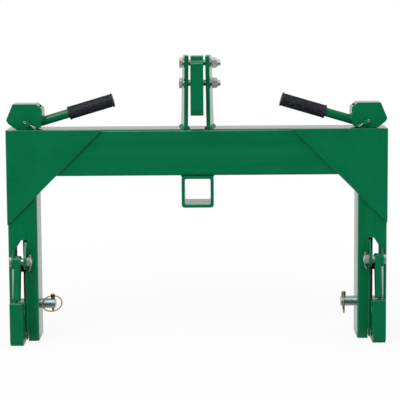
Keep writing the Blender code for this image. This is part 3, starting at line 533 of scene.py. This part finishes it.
class Pattern:
    """A Geometry Nodes tree with named inputs, built node by node."""

    def __init__(self, name, inputs):
        self.tree = bpy.data.node_groups.new(name, "GeometryNodeTree")
        self.tree.is_modifier = True
        self.tree.interface.new_socket(name="Geometry", in_out="INPUT", socket_type="NodeSocketGeometry")
        for label, kind in inputs.items():
            self.tree.interface.new_socket(name=label, in_out="INPUT", socket_type=f"NodeSocket{kind}")
        self.tree.interface.new_socket(name="Geometry", in_out="OUTPUT", socket_type="NodeSocketGeometry")
        self.start = self.tree.nodes.new("NodeGroupInput")

    def given(self, label):
        return self.start.outputs[label]

    def node(self, kind, values=None, out=0, **settings):
        node = self.tree.nodes.new(kind)
        for name, value in settings.items():
            setattr(node, name, value)
        for name, value in (values or {}).items():
            if isinstance(value, bpy.types.NodeSocket):
                self.tree.links.new(value, node.inputs[name])
            else:
                node.inputs[name].default_value = value
        return node.outputs[out]

    def math(self, operation, *values):
        return self.node("ShaderNodeMath", dict(enumerate(values)), operation=operation)

    def end(self, geometry):
        """Close the tree with Realize Instances and Set Material."""
        real = self.node("GeometryNodeRealizeInstances", {"Geometry": geometry})
        painted = self.node("GeometryNodeSetMaterial", {"Geometry": real, "Material": self.given("Finish")})
        finish = self.tree.nodes.new("NodeGroupOutput")
        self.tree.links.new(painted, finish.inputs["Geometry"])
        return self.tree


def patterned(name, mesh, tree, values):
    """Run a mesh through a Geometry Nodes tree and hand back the plain result."""
    holder = linked_object(name, mesh)
    modifier = holder.modifiers.new(tree.name, "NODES")
    modifier.node_group = tree
    for item in tree.interface.items_tree:
        if item.in_out == "INPUT" and item.name in values:
            modifier[item.identifier] = values[item.name]
    result = baked(holder)
    bpy.data.meshes.remove(mesh)
    return result


def bead_tree():
    """A weld bead along an edge path: a swept circle that swells at every ripple and tapers at its ends."""
    pattern = Pattern("Weld Bead", {
        "Bead Radius": "Float", "Ripple Pitch": "Float", "Ripple Depth": "Float", "Finish": "Material",
    })
    curve = pattern.node("GeometryNodeMeshToCurve", {"Mesh": pattern.given("Geometry")})
    step = pattern.math("DIVIDE", pattern.given("Ripple Pitch"), 5.0)
    fine = pattern.node("GeometryNodeResampleCurve", {"Curve": curve, "Length": step}, mode="LENGTH")
    along = pattern.node("GeometryNodeSplineParameter", out="Length")
    whole = pattern.node("GeometryNodeSplineLength", out="Length")
    turns = pattern.math("DIVIDE", along, pattern.given("Ripple Pitch"))
    wave = pattern.math("ABSOLUTE", pattern.math("SINE", pattern.math("MULTIPLY", turns, math.pi)))
    crest = pattern.math("POWER", wave, 0.6)
    swell = pattern.math("ADD", pattern.math("MULTIPLY", crest, pattern.given("Ripple Depth")), 0.76)
    nearest = pattern.math("MINIMUM", along, pattern.math("SUBTRACT", whole, along))
    taper = pattern.math("DIVIDE", nearest, pattern.math("MULTIPLY", pattern.given("Bead Radius"), 2.0))
    capped = pattern.math("MINIMUM", pattern.math("ADD", taper, 0.3), 1.0)
    share = pattern.node("GeometryNodeInputNamedAttribute", {"Name": "share"}, data_type="FLOAT")
    size = pattern.math("MULTIPLY", pattern.math("MULTIPLY", swell, capped), share)
    profile = pattern.node("GeometryNodeCurvePrimitiveCircle", {
        "Resolution": 10, "Radius": pattern.given("Bead Radius"),
    })
    swept = pattern.node("GeometryNodeCurveToMesh", {
        "Curve": fine, "Profile Curve": profile, "Scale": size, "Fill Caps": True,
    })
    return pattern.end(pattern.node("GeometryNodeSetShadeSmooth", {"Geometry": swept}))


def thread_tree():
    """A screw thread about Z: a spiral with a pointed section."""
    pattern = Pattern("Screw Thread", {
        "Radius": "Float", "Pitch": "Float", "Length": "Float", "Finish": "Material",
    })
    turns = pattern.math("DIVIDE", pattern.given("Length"), pattern.given("Pitch"))
    spiral = pattern.node("GeometryNodeCurveSpiral", {
        "Resolution": 24, "Rotations": turns, "Start Radius": pattern.given("Radius"),
        "End Radius": pattern.given("Radius"), "Height": pattern.given("Length"),
    })
    section = pattern.node("GeometryNodeCurvePrimitiveCircle", {
        "Resolution": 4, "Radius": pattern.math("MULTIPLY", pattern.given("Pitch"), 0.30),
    })
    swept = pattern.node("GeometryNodeCurveToMesh", {
        "Curve": spiral, "Profile Curve": section, "Fill Caps": True,
    })
    return pattern.end(swept)


def coil_tree():
    """A coil spring about Z."""
    pattern = Pattern("Coil Spring", {
        "Radius": "Float", "Wire": "Float", "Turns": "Float", "Length": "Float", "Finish": "Material",
    })
    spiral = pattern.node("GeometryNodeCurveSpiral", {
        "Resolution": 28, "Rotations": pattern.given("Turns"), "Start Radius": pattern.given("Radius"),
        "End Radius": pattern.given("Radius"), "Height": pattern.given("Length"),
    })
    section = pattern.node("GeometryNodeCurvePrimitiveCircle", {
        "Resolution": 10, "Radius": pattern.math("DIVIDE", pattern.given("Wire"), 2.0),
    })
    swept = pattern.node("GeometryNodeCurveToMesh", {
        "Curve": spiral, "Profile Curve": section, "Fill Caps": True,
    })
    return pattern.end(pattern.node("GeometryNodeSetShadeSmooth", {"Geometry": swept}))


def pad_tree():
    """Low pads, one on each guide point, turned to the way the point faces."""
    pattern = Pattern("Grip Pads", {
        "Pad Length": "Float", "Pad Width": "Float", "Pad Height": "Float", "Finish": "Material",
    })
    pad = pattern.node("GeometryNodeMeshCylinder", {"Vertices": 6, "Radius": 0.5, "Depth": 2.0})
    facing = pattern.node("GeometryNodeInputNamedAttribute", {"Name": "facing"}, data_type="FLOAT_VECTOR")
    upright = pattern.node("FunctionNodeAlignRotationToVector", {"Vector": facing}, axis="Z")
    turned = pattern.node("FunctionNodeAlignRotationToVector", {
        "Rotation": upright, "Vector": (0.0, 0.0, 1.0),
    }, axis="Y", pivot_axis="Z")
    size = pattern.node("ShaderNodeCombineXYZ", {
        0: pattern.given("Pad Width"), 1: pattern.given("Pad Length"), 2: pattern.given("Pad Height"),
    })
    copies = pattern.node("GeometryNodeInstanceOnPoints", {
        "Points": pattern.given("Geometry"), "Instance": pad, "Rotation": turned, "Scale": size,
    })
    return pattern.end(copies)


# Operators


class HITCH_OT_steelwork(bpy.types.Operator):
    """Give every painted plate, tube, hook and latch rounded edges and powder coat"""

    bl_idname = "hitch.steelwork"
    bl_label = "Finish Steelwork"

    def execute(self, context):
        radius = context.scene.hitch_paint.edge_radius
        painted = ["cross_beam", "receiver_tube", "top_hook"]
        for word in SIDES:
            painted += [f"{node}_{word}" for node in (
                "leg", "corner_plate", "mast_plate", "lower_hook", "latch_ear_inner", "latch_ear_outer",
                "latch", "lever_cam", "lever_tube", "lever_pin",
            )]
        drawn = {"cross_beam": green_paint("beam_powder_coat", BEAM_GRAIN)}
        drawn["leg_left"] = drawn["leg_right"] = green_paint("leg_powder_coat", LEG_GRAIN)
        for node in painted:
            mesh = rounded_copy(node, radius)
            add_piece(f"{node}_painted", mesh, "green_paint", body_of(node), [node], drawn.get(node))
        return {"FINISHED"}


class HITCH_OT_weld_beads(bpy.types.Operator):
    """Run rippled weld beads along the joints of the steelwork"""

    bl_idname = "hitch.weld_beads"
    bl_label = "Run Weld Beads"

    def execute(self, context):
        settings = context.scene.hitch_weld
        tree = bead_tree()
        beads = {"frame": frame_beads()}
        for word in SIDES:
            beads[f"lever_{word}"] = lever_beads(word)
        for body, paths in beads.items():
            result = patterned("bead_paths", bead_guide(paths), tree, {
                "Bead Radius": settings.bead_radius, "Ripple Pitch": settings.ripple_pitch,
                "Ripple Depth": settings.ripple_depth, "Finish": finish_for("green_paint"),
            })
            add_piece(f"weld_beads_{body}", result, "green_paint", body)
        return {"FINISHED"}


def bead_guide(paths):
    """Edges along the beads' paths; each point carries its bead's share of the full radius."""
    places, edges, shares = [], [], []
    for share, path in paths:
        edges += [(len(places) + step, len(places) + step + 1) for step in range(len(path) - 1)]
        places += path
        shares += [share] * len(path)
    mesh = bpy.data.meshes.new("bead_guide")
    mesh.from_pydata(places, edges, [])
    mesh.attributes.new("share", "FLOAT", "POINT").data.foreach_set("value", shares)
    return mesh


def frame_beads():
    """Paths of the beads that hold the arch together, taken from the boxes of the nodes they join."""
    paths = []
    for word, side in SIDES.items():
        leg_low, leg_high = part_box(f"leg_{word}")
        inner, outer = near_and_far(side, leg_low, leg_high)
        paths.append((BEADS["leg"], [
            (inner, leg_low.y + 7 * MM, leg_high.z), (inner, leg_high.y - 7 * MM, leg_high.z),
        ]))
        paths += corner_plate_beads(word, side, inner, outer)
        paths += mast_beads(word, side)
        face = leg_low.y - 0.2 * MM
        hook_inner, hook_outer = near_and_far(side, *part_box(f"lower_hook_{word}"))
        for share, x, top in (
            (BEADS["hook_inner"], hook_inner - side * 2.6 * MM, 142 * MM),
            (BEADS["hook_outer"], hook_outer + side * 1.0 * MM, 74 * MM),
        ):
            paths.append((share, [(x, face, 3 * MM), (x, face, top)]))
        ear_low, ear_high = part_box(f"latch_ear_inner_{word}")
        x = near_and_far(side, ear_low, ear_high)[0] - side * 1.2 * MM
        paths.append((BEADS["ear"], [(x, face, ear_low.z + 2 * MM), (x, face, ear_high.z - 2 * MM)]))
    tube_low, tube_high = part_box("receiver_tube")
    for edge in (tube_low.x, tube_high.x):
        x, z = edge - math.copysign(1.2 * MM, edge), tube_high.z - 1.2 * MM
        paths.append((BEADS["receiver"], [(x, tube_low.y + 5 * MM, z), (x, tube_high.y - 5 * MM, z)]))
    return paths


def near_and_far(side, low, high):
    """The two X values of a box, the one nearer to the middle of the hitch first."""
    return side * min(abs(low.x), abs(high.x)), side * max(abs(low.x), abs(high.x))


def corner_plate_beads(word, side, leg_inner, leg_outer):
    """Beads along a corner plate's slant, over the beam and over the leg, and along its rim."""
    beam_low, beam_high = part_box("cross_beam")
    low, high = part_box(f"corner_plate_{word}")
    tip = near_and_far(side, low, high)[0]
    depth = high.y - 0.4 * MM

    def slant(along):
        return (tip + side * along, depth, high.z - along)

    over_beam = [slant(4 * MM), slant(beam_high.z - beam_low.z - 3 * MM)]
    over_leg = [slant(abs(leg_inner) - abs(tip) + 3 * MM), slant(high.z - low.z - 4 * MM)]
    rim = 2.4 * MM
    y, top, end = high.y + rim, high.z - rim, leg_outer - side * rim
    along_top = [(tip + side * 6 * MM, y, top), (leg_outer - side * 6 * MM, y, top)]
    along_end = [(end, y, high.z - 6 * MM), (end, y, low.z + 8 * MM)]
    return [
        (BEADS["corner_plate"], over_beam), (BEADS["corner_plate"], over_leg),
        (BEADS["rim"], along_top), (BEADS["rim"], along_end),
    ]


def mast_beads(word, side):
    """Beads on both sides of a mast plate's foot."""
    mast = [vertex.co for vertex in frame["nodes"][f"mast_plate_{word}"].data.vertices]
    foot = min(place.z for place in mast)
    corners = [place for place in mast if place.z < foot + 1 * MM]
    front = [place for place in corners if place.y < min(c.y for c in corners) + 3 * MM]
    back = [place for place in corners if place.y > max(c.y for c in corners) - 3 * MM]
    paths = []
    for pick in (max, min):
        start = pick(front, key=lambda place: place.x * side)
        stop = pick(back, key=lambda place: place.x * side)
        paths.append((BEADS["mast"], [
            (start.x, start.y + 4 * MM, foot), (stop.x, stop.y - 2 * MM, foot),
        ]))
    return paths


def lever_axis(word):
    """The middle line of a lever's tube and grip, as a placing whose Z runs along it."""
    side = SIDES[word]
    lean = Matrix.Rotation(side * (LEVER_TILT - math.pi / 2), 4, "Y")
    pin_low, pin_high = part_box(f"lever_pin_{word}")
    cam_low, cam_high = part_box(f"lever_cam_{word}")
    centre = Vector((
        side * LEVER_PIN_X, (cam_low.y + cam_high.y) / 2, (pin_low.z + pin_high.z) / 2 - TUBE_DROP,
    ))
    return Matrix.Translation(centre) @ lean


def lever_beads(word):
    """A bead on the cam's end web, along the part of the tube's outline that lands on it."""
    placing = lever_axis(word)
    back = placing.to_3x3() @ Vector((0, 0, -1))
    bm = bmesh.new()
    bm.from_mesh(frame["nodes"][f"lever_cam_{word}"].data)
    web = BVHTree.FromBMesh(bm)
    bm.free()
    landed = []
    for step in range(36):
        angle = 2 * math.pi * step / 36
        outline = Vector((TUBE_RADIUS * math.cos(angle), TUBE_RADIUS * math.sin(angle), 60 * MM))
        landed.append(web.ray_cast(placing @ outline, back, 40 * MM)[0])
    gap = next((step for step, place in enumerate(landed) if place is None), 0)
    path = [place for place in landed[gap:] + landed[:gap] if place is not None]
    if len(path) < 4:
        raise RuntimeError(f"the tube of lever_{word} doesn't meet its cam")
    return [(BEADS["lever"], path)]


class HITCH_OT_fasteners(bpy.types.Operator):
    """Round the bolts, nuts, sleeves and collars, and cut the mast bolts' threads"""

    bl_idname = "hitch.fasteners"
    bl_label = "Finish Fasteners"

    def execute(self, context):
        nodes = ["mast_bolt_lower", "mast_bolt_upper"]
        for word in SIDES:
            nodes += [f"{node}_{word}" for node in (
                "latch_bolt", "latch_nut", "latch_sleeve", "latch_link_pin", "spring_collar", "link_pin",
            )]
        special = {f"link_pin_{word}": pin_plate("link_pin_zinc") for word in SIDES}
        for node in nodes:
            mesh = rounded_copy(node, HARDWARE_EDGE)
            add_piece(f"{node}_plated", mesh, "zinc_hardware", body_of(node), [node], special.get(node))
        for level in ("lower", "upper"):
            nut = f"mast_nut_{level}"
            add_piece(f"mast_lock_nut_{level}", lock_nut(nut), "zinc_hardware", body_of(nut), [nut])
        tree = thread_tree()
        for level in ("lower", "upper"):
            mesh = bolt_thread(level, tree, context.scene.hitch_hardware.thread_pitch)
            add_piece(f"mast_bolt_thread_{level}", mesh, "zinc_hardware", "frame")
        return {"FINISHED"}


def lock_nut(node):
    """A rounded nut with the turned collar of a lock nut on its outer face."""
    low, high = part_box(node)
    middle = (low + high) / 2
    seat = Matrix.Translation((high.x + 0.02 * MM, middle.y, middle.z))
    collar = turned_mesh("lock_collar", NUT_COLLAR, seat @ Matrix.Rotation(math.pi / 2, 4, "Y"), steps=48)
    return joined([rounded_copy(node, HARDWARE_EDGE), collar])


def bolt_thread(level, tree, pitch):
    """The thread of a mast bolt, from inside its nut to the bolt's end."""
    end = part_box(f"mast_bolt_{level}")[1].x - 1.0 * MM
    nut_low, nut_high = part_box(f"mast_nut_{level}")
    start = Vector((nut_low.x - 1.5 * MM, (nut_low.y + nut_high.y) / 2, (nut_low.z + nut_high.z) / 2))
    mesh = patterned("thread", bpy.data.meshes.new("thread"), tree, {
        "Radius": BOLT_RADIUS - THREAD_SINK, "Pitch": pitch, "Length": end - start.x,
        "Finish": finish_for("zinc_hardware"),
    })
    mesh.transform(Matrix.Translation(start) @ Matrix.Rotation(math.pi / 2, 4, "Y"))
    return mesh


def split_pin(name, placing, head, foot, spread, drift, wire):
    """A split pin about its own Z axis: one wire up one leg, round the eye and down the other."""
    half = wire / 2
    eye = wire * 1.55
    neck = math.asin(half / eye)
    middle = head + eye * math.cos(neck)
    points = [
        (-half - spread, drift, foot), (-half - spread * 0.35, drift * 0.3, foot + 4 * MM),
        (-half, 0, foot + 7 * MM), (-half, 0, head),
    ]
    for step in range(13):
        angle = -math.pi / 2 - neck - (2 * math.pi - 2 * neck) * step / 12
        points.append((eye * math.cos(angle), 0, middle + eye * math.sin(angle)))
    points += [
        (half, 0, head), (half, 0, foot + 7 * MM), (half + spread * 0.3, drift * 0.35, foot + 4 * MM),
        (half + spread * 0.8, drift * 1.1, foot + 1.5 * MM),
    ]
    mesh = wire_mesh(name, points, wire, sides=8)
    mesh.transform(placing)
    return mesh


class HITCH_OT_split_pins(bpy.types.Operator):
    """Bend the split pins of the latch bolts and the lever pins"""

    bl_idname = "hitch.split_pins"
    bl_label = "Bend Split Pins"

    def execute(self, context):
        wire = context.scene.hitch_hardware.split_wire
        for word, side in SIDES.items():
            for name, mesh in (
                (f"latch_cotter_{word}", latch_split_pin(word, side, wire)),
                (f"lever_cotter_{word}", lever_split_pin(word, side, wire)),
            ):
                add_piece(f"{name}_bent", mesh, "zinc_hardware", body_of(name), [name])
        return {"FINISHED"}


def latch_split_pin(word, side, wire):
    """An upright split pin through a latch bolt's nut, as long as its CAD node."""
    nut_low, nut_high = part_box(f"latch_nut_{word}")
    places = [vertex.co for vertex in frame["nodes"][f"latch_cotter_{word}"].data.vertices]
    top = max(place.z for place in places)
    bottom = min(place.z for place in places)
    upper = [place.x for place in places if place.z > top - 6 * MM]
    placing = Matrix.Translation((sum(upper) / len(upper), (nut_low.y + nut_high.y) / 2, 0))
    placing @= Matrix.Rotation(math.pi / 2, 4, "Z")
    return split_pin("latch_split_pin", placing, top - 1 * MM, bottom, 1.2 * MM, -side * 3.2 * MM, wire)


def lever_split_pin(word, side, wire):
    """A leaning split pin in a lever pin's end, with its eye up and outboard."""
    places = [vertex.co for vertex in frame["nodes"][f"lever_cotter_{word}"].data.vertices]
    pin_low, pin_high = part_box(f"lever_pin_{word}")
    depth = max(place.y for place in places) - 1.1 * MM
    placing = Matrix.Translation(((pin_low.x + pin_high.x) / 2, depth, (pin_low.z + pin_high.z) / 2))
    placing @= Matrix.Rotation(side * SPLIT_PIN_LEAN, 4, "Y")
    return split_pin("lever_split_pin", placing, 5.6 * MM, -17.5 * MM, 1.1 * MM, -2.2 * MM, wire)


class HITCH_OT_linch_pins(bpy.types.Operator):
    """Turn the linch pins and bend their spring rings"""

    bl_idname = "hitch.linch_pins"
    bl_label = "Finish Linch Pins"

    def execute(self, context):
        for word in SIDES:
            pin, ring = f"linch_pin_{word}", f"linch_ring_{word}"
            add_piece(f"{pin}_plated", rounded_copy(pin, HARDWARE_EDGE), "yellow_zinc", body_of(pin), [pin])
            add_piece(f"{ring}_plated", spring_ring(ring), "yellow_zinc", body_of(ring), [ring])
        return {"FINISHED"}


def spring_ring(node):
    """A round ring in the plane of its CAD node and as wide."""
    places = [vertex.co.copy() for vertex in frame["nodes"][node].data.vertices]
    middle = sum(places, Vector()) / len(places)
    first = max(places, key=lambda place: place.z) - middle
    across = max(places, key=lambda place: (place - middle).cross(first).length) - middle
    normal = first.cross(across).normalized()
    one = (first - normal * first.dot(normal)).normalized()
    two = normal.cross(one)
    radius = max((place - middle).length for place in places) - RING_WIRE / 2
    points = []
    for step in range(72):
        angle = 2 * math.pi * step / 72
        points.append(middle + (one * math.cos(angle) + two * math.sin(angle)) * radius)
    return wire_mesh("linch_ring", points, RING_WIRE, sides=12, closed=True)


class HITCH_OT_grips(bpy.types.Operator):
    """Mould the grips with their flanges and rows of pads"""

    bl_idname = "hitch.grips"
    bl_label = "Mould Grips"

    def execute(self, context):
        tree = pad_tree()
        for word in SIDES:
            node = f"lever_grip_{word}"
            placing = lever_axis(word)
            local = [placing.inverted() @ vertex.co for vertex in frame["nodes"][node].data.vertices]
            start, end = min(place.z for place in local), max(place.z for place in local)
            lip = max(math.hypot(place.x, place.y) for place in local)
            moulding = turned_mesh("grip", grip_profile(start, end, lip), placing, steps=40)
            pads = grip_pads(start + PAD_MARGIN, end - PAD_MARGIN, tree, context.scene.hitch_grip)
            pads.transform(placing)
            pads.shade_flat()
            add_piece(f"{node}_moulded", joined([moulding, pads]), "grip_rubber", body_of(node), [node])
        return {"FINISHED"}


def grip_profile(start, end, lip):
    """Radius and height along a grip's outline: the closed end, its flange, the body and the open end."""
    return [
        (0.0, end), (lip - 2.2 * MM, end), (lip - 0.8 * MM, end - 0.3 * MM),
        (lip - 0.1 * MM, end - 1.1 * MM), (lip, end - 2.2 * MM), (lip - 0.3 * MM, end - 3.4 * MM),
        (GRIP_RADIUS + 0.3 * MM, end - 4.6 * MM),
        (GRIP_RADIUS, end - 6.0 * MM), (GRIP_RADIUS, start + 6.0 * MM),
        (GRIP_RADIUS + 0.3 * MM, start + 5.0 * MM), (lip - 0.4 * MM, start + 3.6 * MM),
        (lip - 0.2 * MM, start + 1.6 * MM), (lip - 0.8 * MM, start + 0.5 * MM), (lip - 2.2 * MM, start),
        (GRIP_BORE, start), (GRIP_BORE, start + 3.0 * MM), (0.0, start + 3.0 * MM),
    ]


def grip_pads(first, last, tree, settings):
    """Rows of pads round a grip, each row half a step on from the one before."""
    pitch = (last - first) / settings.rows
    places, facings = [], []
    for row in range(settings.rows + 1):
        for turn in range(settings.pads):
            angle = 2 * math.pi * (turn + 0.5 * (row % 2)) / settings.pads
            outward = Vector((math.cos(angle), math.sin(angle), 0.0))
            places.append(outward * GRIP_RADIUS + Vector((0, 0, first + pitch * row)))
            facings += outward[:]
    guide = bpy.data.meshes.new("pad_guide")
    guide.from_pydata(places, [], [])
    guide.attributes.new("facing", "FLOAT_VECTOR", "POINT").data.foreach_set("vector", facings)
    return patterned("pad_guide", guide, tree, {
        "Pad Length": pitch * 1.05, "Pad Width": 2 * math.pi * GRIP_RADIUS / settings.pads * 0.52,
        "Pad Height": settings.pad_height, "Finish": finish_for("grip_rubber"),
    })


class HITCH_OT_lift_rods(bpy.types.Operator):
    """Finish the lift rods and wind their return springs"""

    bl_idname = "hitch.lift_rods"
    bl_label = "Finish Lift Rods"

    def execute(self, context):
        tree = coil_tree()
        for word in SIDES:
            rod, node, joint = f"lift_rod_{word}", f"return_spring_{word}", f"rod_lift_{word}"
            mesh = rounded_copy(rod, HARDWARE_EDGE)
            add_piece(f"{rod}_blackened", mesh, "dark_steel", body_of(rod), [rod])
            low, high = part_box(node)
            middle = (low + high) / 2
            mesh = patterned("spring", bpy.data.meshes.new("spring"), tree, {
                "Radius": (high.x - low.x - SPRING_WIRE) / 2, "Wire": SPRING_WIRE, "Turns": SPRING_TURNS,
                "Length": high.z - low.z - SPRING_WIRE, "Finish": finish_for("zinc_hardware"),
            })
            mesh.transform(Matrix.Translation((middle.x, middle.y, low.z + SPRING_WIRE / 2)))
            spring = add_piece(f"{node}_wound", mesh, "zinc_hardware", "frame", [node])
            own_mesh(spring)
        return {"FINISHED"}


class HITCH_OT_stage(bpy.types.Operator):
    """Set up the floor, the studio light, the white surround and the camera"""

    bl_idname = "hitch.stage"
    bl_label = "Set Stage"

    def execute(self, context):
        scene = context.scene
        settings = scene.hitch_stage
        make_floor()
        make_surround(scene)
        for name, place, width, power in LAMPS:
            lamp = bpy.data.lights.new(name, "AREA")
            lamp.shape = "SQUARE"
            lamp.size = width
            lamp.energy = getattr(settings, power)
            holder = linked_object(name, lamp)
            holder.location = place
            holder.rotation_euler = (LAMP_AIM - Vector(place)).to_track_quat("-Z", "Y").to_euler()
        make_camera(scene, settings)
        scene.view_settings.view_transform = "Standard"
        return {"FINISHED"}


def make_camera(scene, settings):
    """The photograph's camera, turned by its pitch down, yaw to the right and roll."""
    pitch, yaw, roll = settings.aim
    ahead = Vector((math.sin(yaw) * math.cos(pitch), math.cos(yaw) * math.cos(pitch), -math.sin(pitch)))
    level = Vector((math.cos(yaw), -math.sin(yaw), 0.0))
    above = level.cross(ahead)
    right = level * math.cos(roll) + above * math.sin(roll)
    up = above * math.cos(roll) - level * math.sin(roll)
    view = bpy.data.cameras.new("photo_camera")
    view.lens = settings.lens
    view.sensor_width = 36.0
    view.shift_x, view.shift_y = CAMERA_SHIFT
    view.clip_start, view.clip_end = 0.05, 60.0
    camera = linked_object("photo_camera", view)
    turn = Matrix((right, up, -ahead)).transposed().to_4x4()
    camera.matrix_world = Matrix.Translation(settings.place) @ turn
    scene.camera = camera


def ray_kinds(finish):
    """1 for what the camera sees straight or through glass, and 1 for what it sees mirrored."""
    path = finish.tree.nodes.new("ShaderNodeLightPath")
    camera, glossy, through = (
        Signal(finish.tree, path.outputs[name])
        for name in ("Is Camera Ray", "Is Glossy Ray", "Is Transmission Ray")
    )
    return camera.worked("MAXIMUM", camera, through), glossy


def rising(finish, value, start, stop, low, high, curve="LINEAR"):
    """Low up to start, high from stop on."""
    return finish.node("ShaderNodeMapRange", values={
        "Value": value, "From Min": start, "From Max": stop, "To Min": low, "To Max": high,
    }, interpolation_type=curve)


def make_floor():
    """A pale floor that keeps a soft shadow near the hitch and is plain white farther off."""
    front, back, half = -0.75, 9.0, 7.0
    corners = [(-half, front, 0), (half, front, 0), (half, back, 0), (-half, back, 0)]
    mesh = bpy.data.meshes.new("studio_floor")
    mesh.from_pydata(corners, [], [(0, 1, 2, 3)])
    finish = new_finish("studio_floor")
    straight, mirrored = ray_kinds(finish)
    where = finish.place()
    depth = finish.node("ShaderNodeSeparateXYZ", out="Y", values={"Vector": where})
    behind = rising(finish, depth, -0.08, 0.06, 0.02, WHITE_BEHIND)
    distance = finish.node("ShaderNodeVectorMath", out="Value", operation="LENGTH", values={0: where})
    far = rising(finish, distance, 0.45, 1.1, 0.88, 1.0)
    pale = finish.node("ShaderNodeBsdfDiffuse", values={"Color": (0.9, 0.9, 0.9)})
    glow = finish.node("ShaderNodeEmission", values={"Strength": straight + mirrored * behind})
    mixed = finish.node("ShaderNodeMixShader", values={0: straight * far + mirrored, 1: pale, 2: glow})
    finish.node("ShaderNodeOutputMaterial", values={"Surface": mixed})
    mesh.materials.append(finish.owner)
    floor = linked_object("studio_floor", mesh)
    floor.location.z = -0.2 * MM


def make_surround(scene):
    """White all round for the camera; for reflections white behind and beside, dim in front."""
    scene.world = bpy.data.worlds.new("studio")
    finish = Finish(scene.world)
    where = finish.node("ShaderNodeTexCoord", out="Generated")
    ahead = finish.node("ShaderNodeSeparateXYZ", out="Y", values={"Vector": where})
    shown = rising(finish, ahead, -0.55, 0.05, 0.015, WHITE_BEHIND, "SMOOTHSTEP")
    straight, mirrored = ray_kinds(finish)
    other = mirrored * shown + (1.0 - mirrored) * ROOM_LIGHT
    strength = straight + (1.0 - straight) * other
    light = finish.node("ShaderNodeBackground", values={"Color": (1.0, 1.0, 1.0), "Strength": strength})
    finish.node("ShaderNodeOutputWorld", values={"Surface": light})


class HITCH_PT_panel(bpy.types.Panel):
    """Lists the hitch's finishes and the sizes behind them"""

    bl_label = "Quick Hitch"
    bl_idname = "HITCH_PT_panel"
    bl_space_type = "VIEW_3D"
    bl_region_type = "UI"
    bl_category = "Hitch"

    def draw(self, context):
        layout = self.layout
        for setting in SETTINGS:
            group = getattr(context.scene, setting)
            box = layout.box()
            for name in group.bl_rna.properties.keys():
                if name not in ("rna_type", "name"):
                    box.prop(group, name)
        for operator in OPERATORS:
            layout.operator(operator.bl_idname)


SETTINGS = {
    "hitch_paint": HitchPaintSettings, "hitch_weld": HitchWeldSettings,
    "hitch_hardware": HitchHardwareSettings, "hitch_grip": HitchGripSettings,
    "hitch_stage": HitchStageSettings,
}
OPERATORS = (
    HITCH_OT_steelwork, HITCH_OT_weld_beads, HITCH_OT_fasteners, HITCH_OT_split_pins, HITCH_OT_linch_pins,
    HITCH_OT_grips, HITCH_OT_lift_rods, HITCH_OT_stage,
)


def register():
    for name, group in SETTINGS.items():
        bpy.utils.register_class(group)
        setattr(bpy.types.Scene, name, PointerProperty(type=group))
    for operator in OPERATORS:
        bpy.utils.register_class(operator)
    bpy.utils.register_class(HITCH_PT_panel)


def unregister():
    bpy.utils.unregister_class(HITCH_PT_panel)
    for operator in reversed(OPERATORS):
        bpy.utils.unregister_class(operator)
    for name, group in reversed(SETTINGS.items()):
        delattr(bpy.types.Scene, name)
        bpy.utils.unregister_class(group)


def main():
    register()
    bpy.ops.hitch.steelwork()
    bpy.ops.hitch.weld_beads()
    bpy.ops.hitch.fasteners()
    bpy.ops.hitch.split_pins()
    bpy.ops.hitch.linch_pins()
    bpy.ops.hitch.grips()
    bpy.ops.hitch.lift_rods()
    bpy.ops.hitch.stage()


if __name__ == "__main__":
    main()
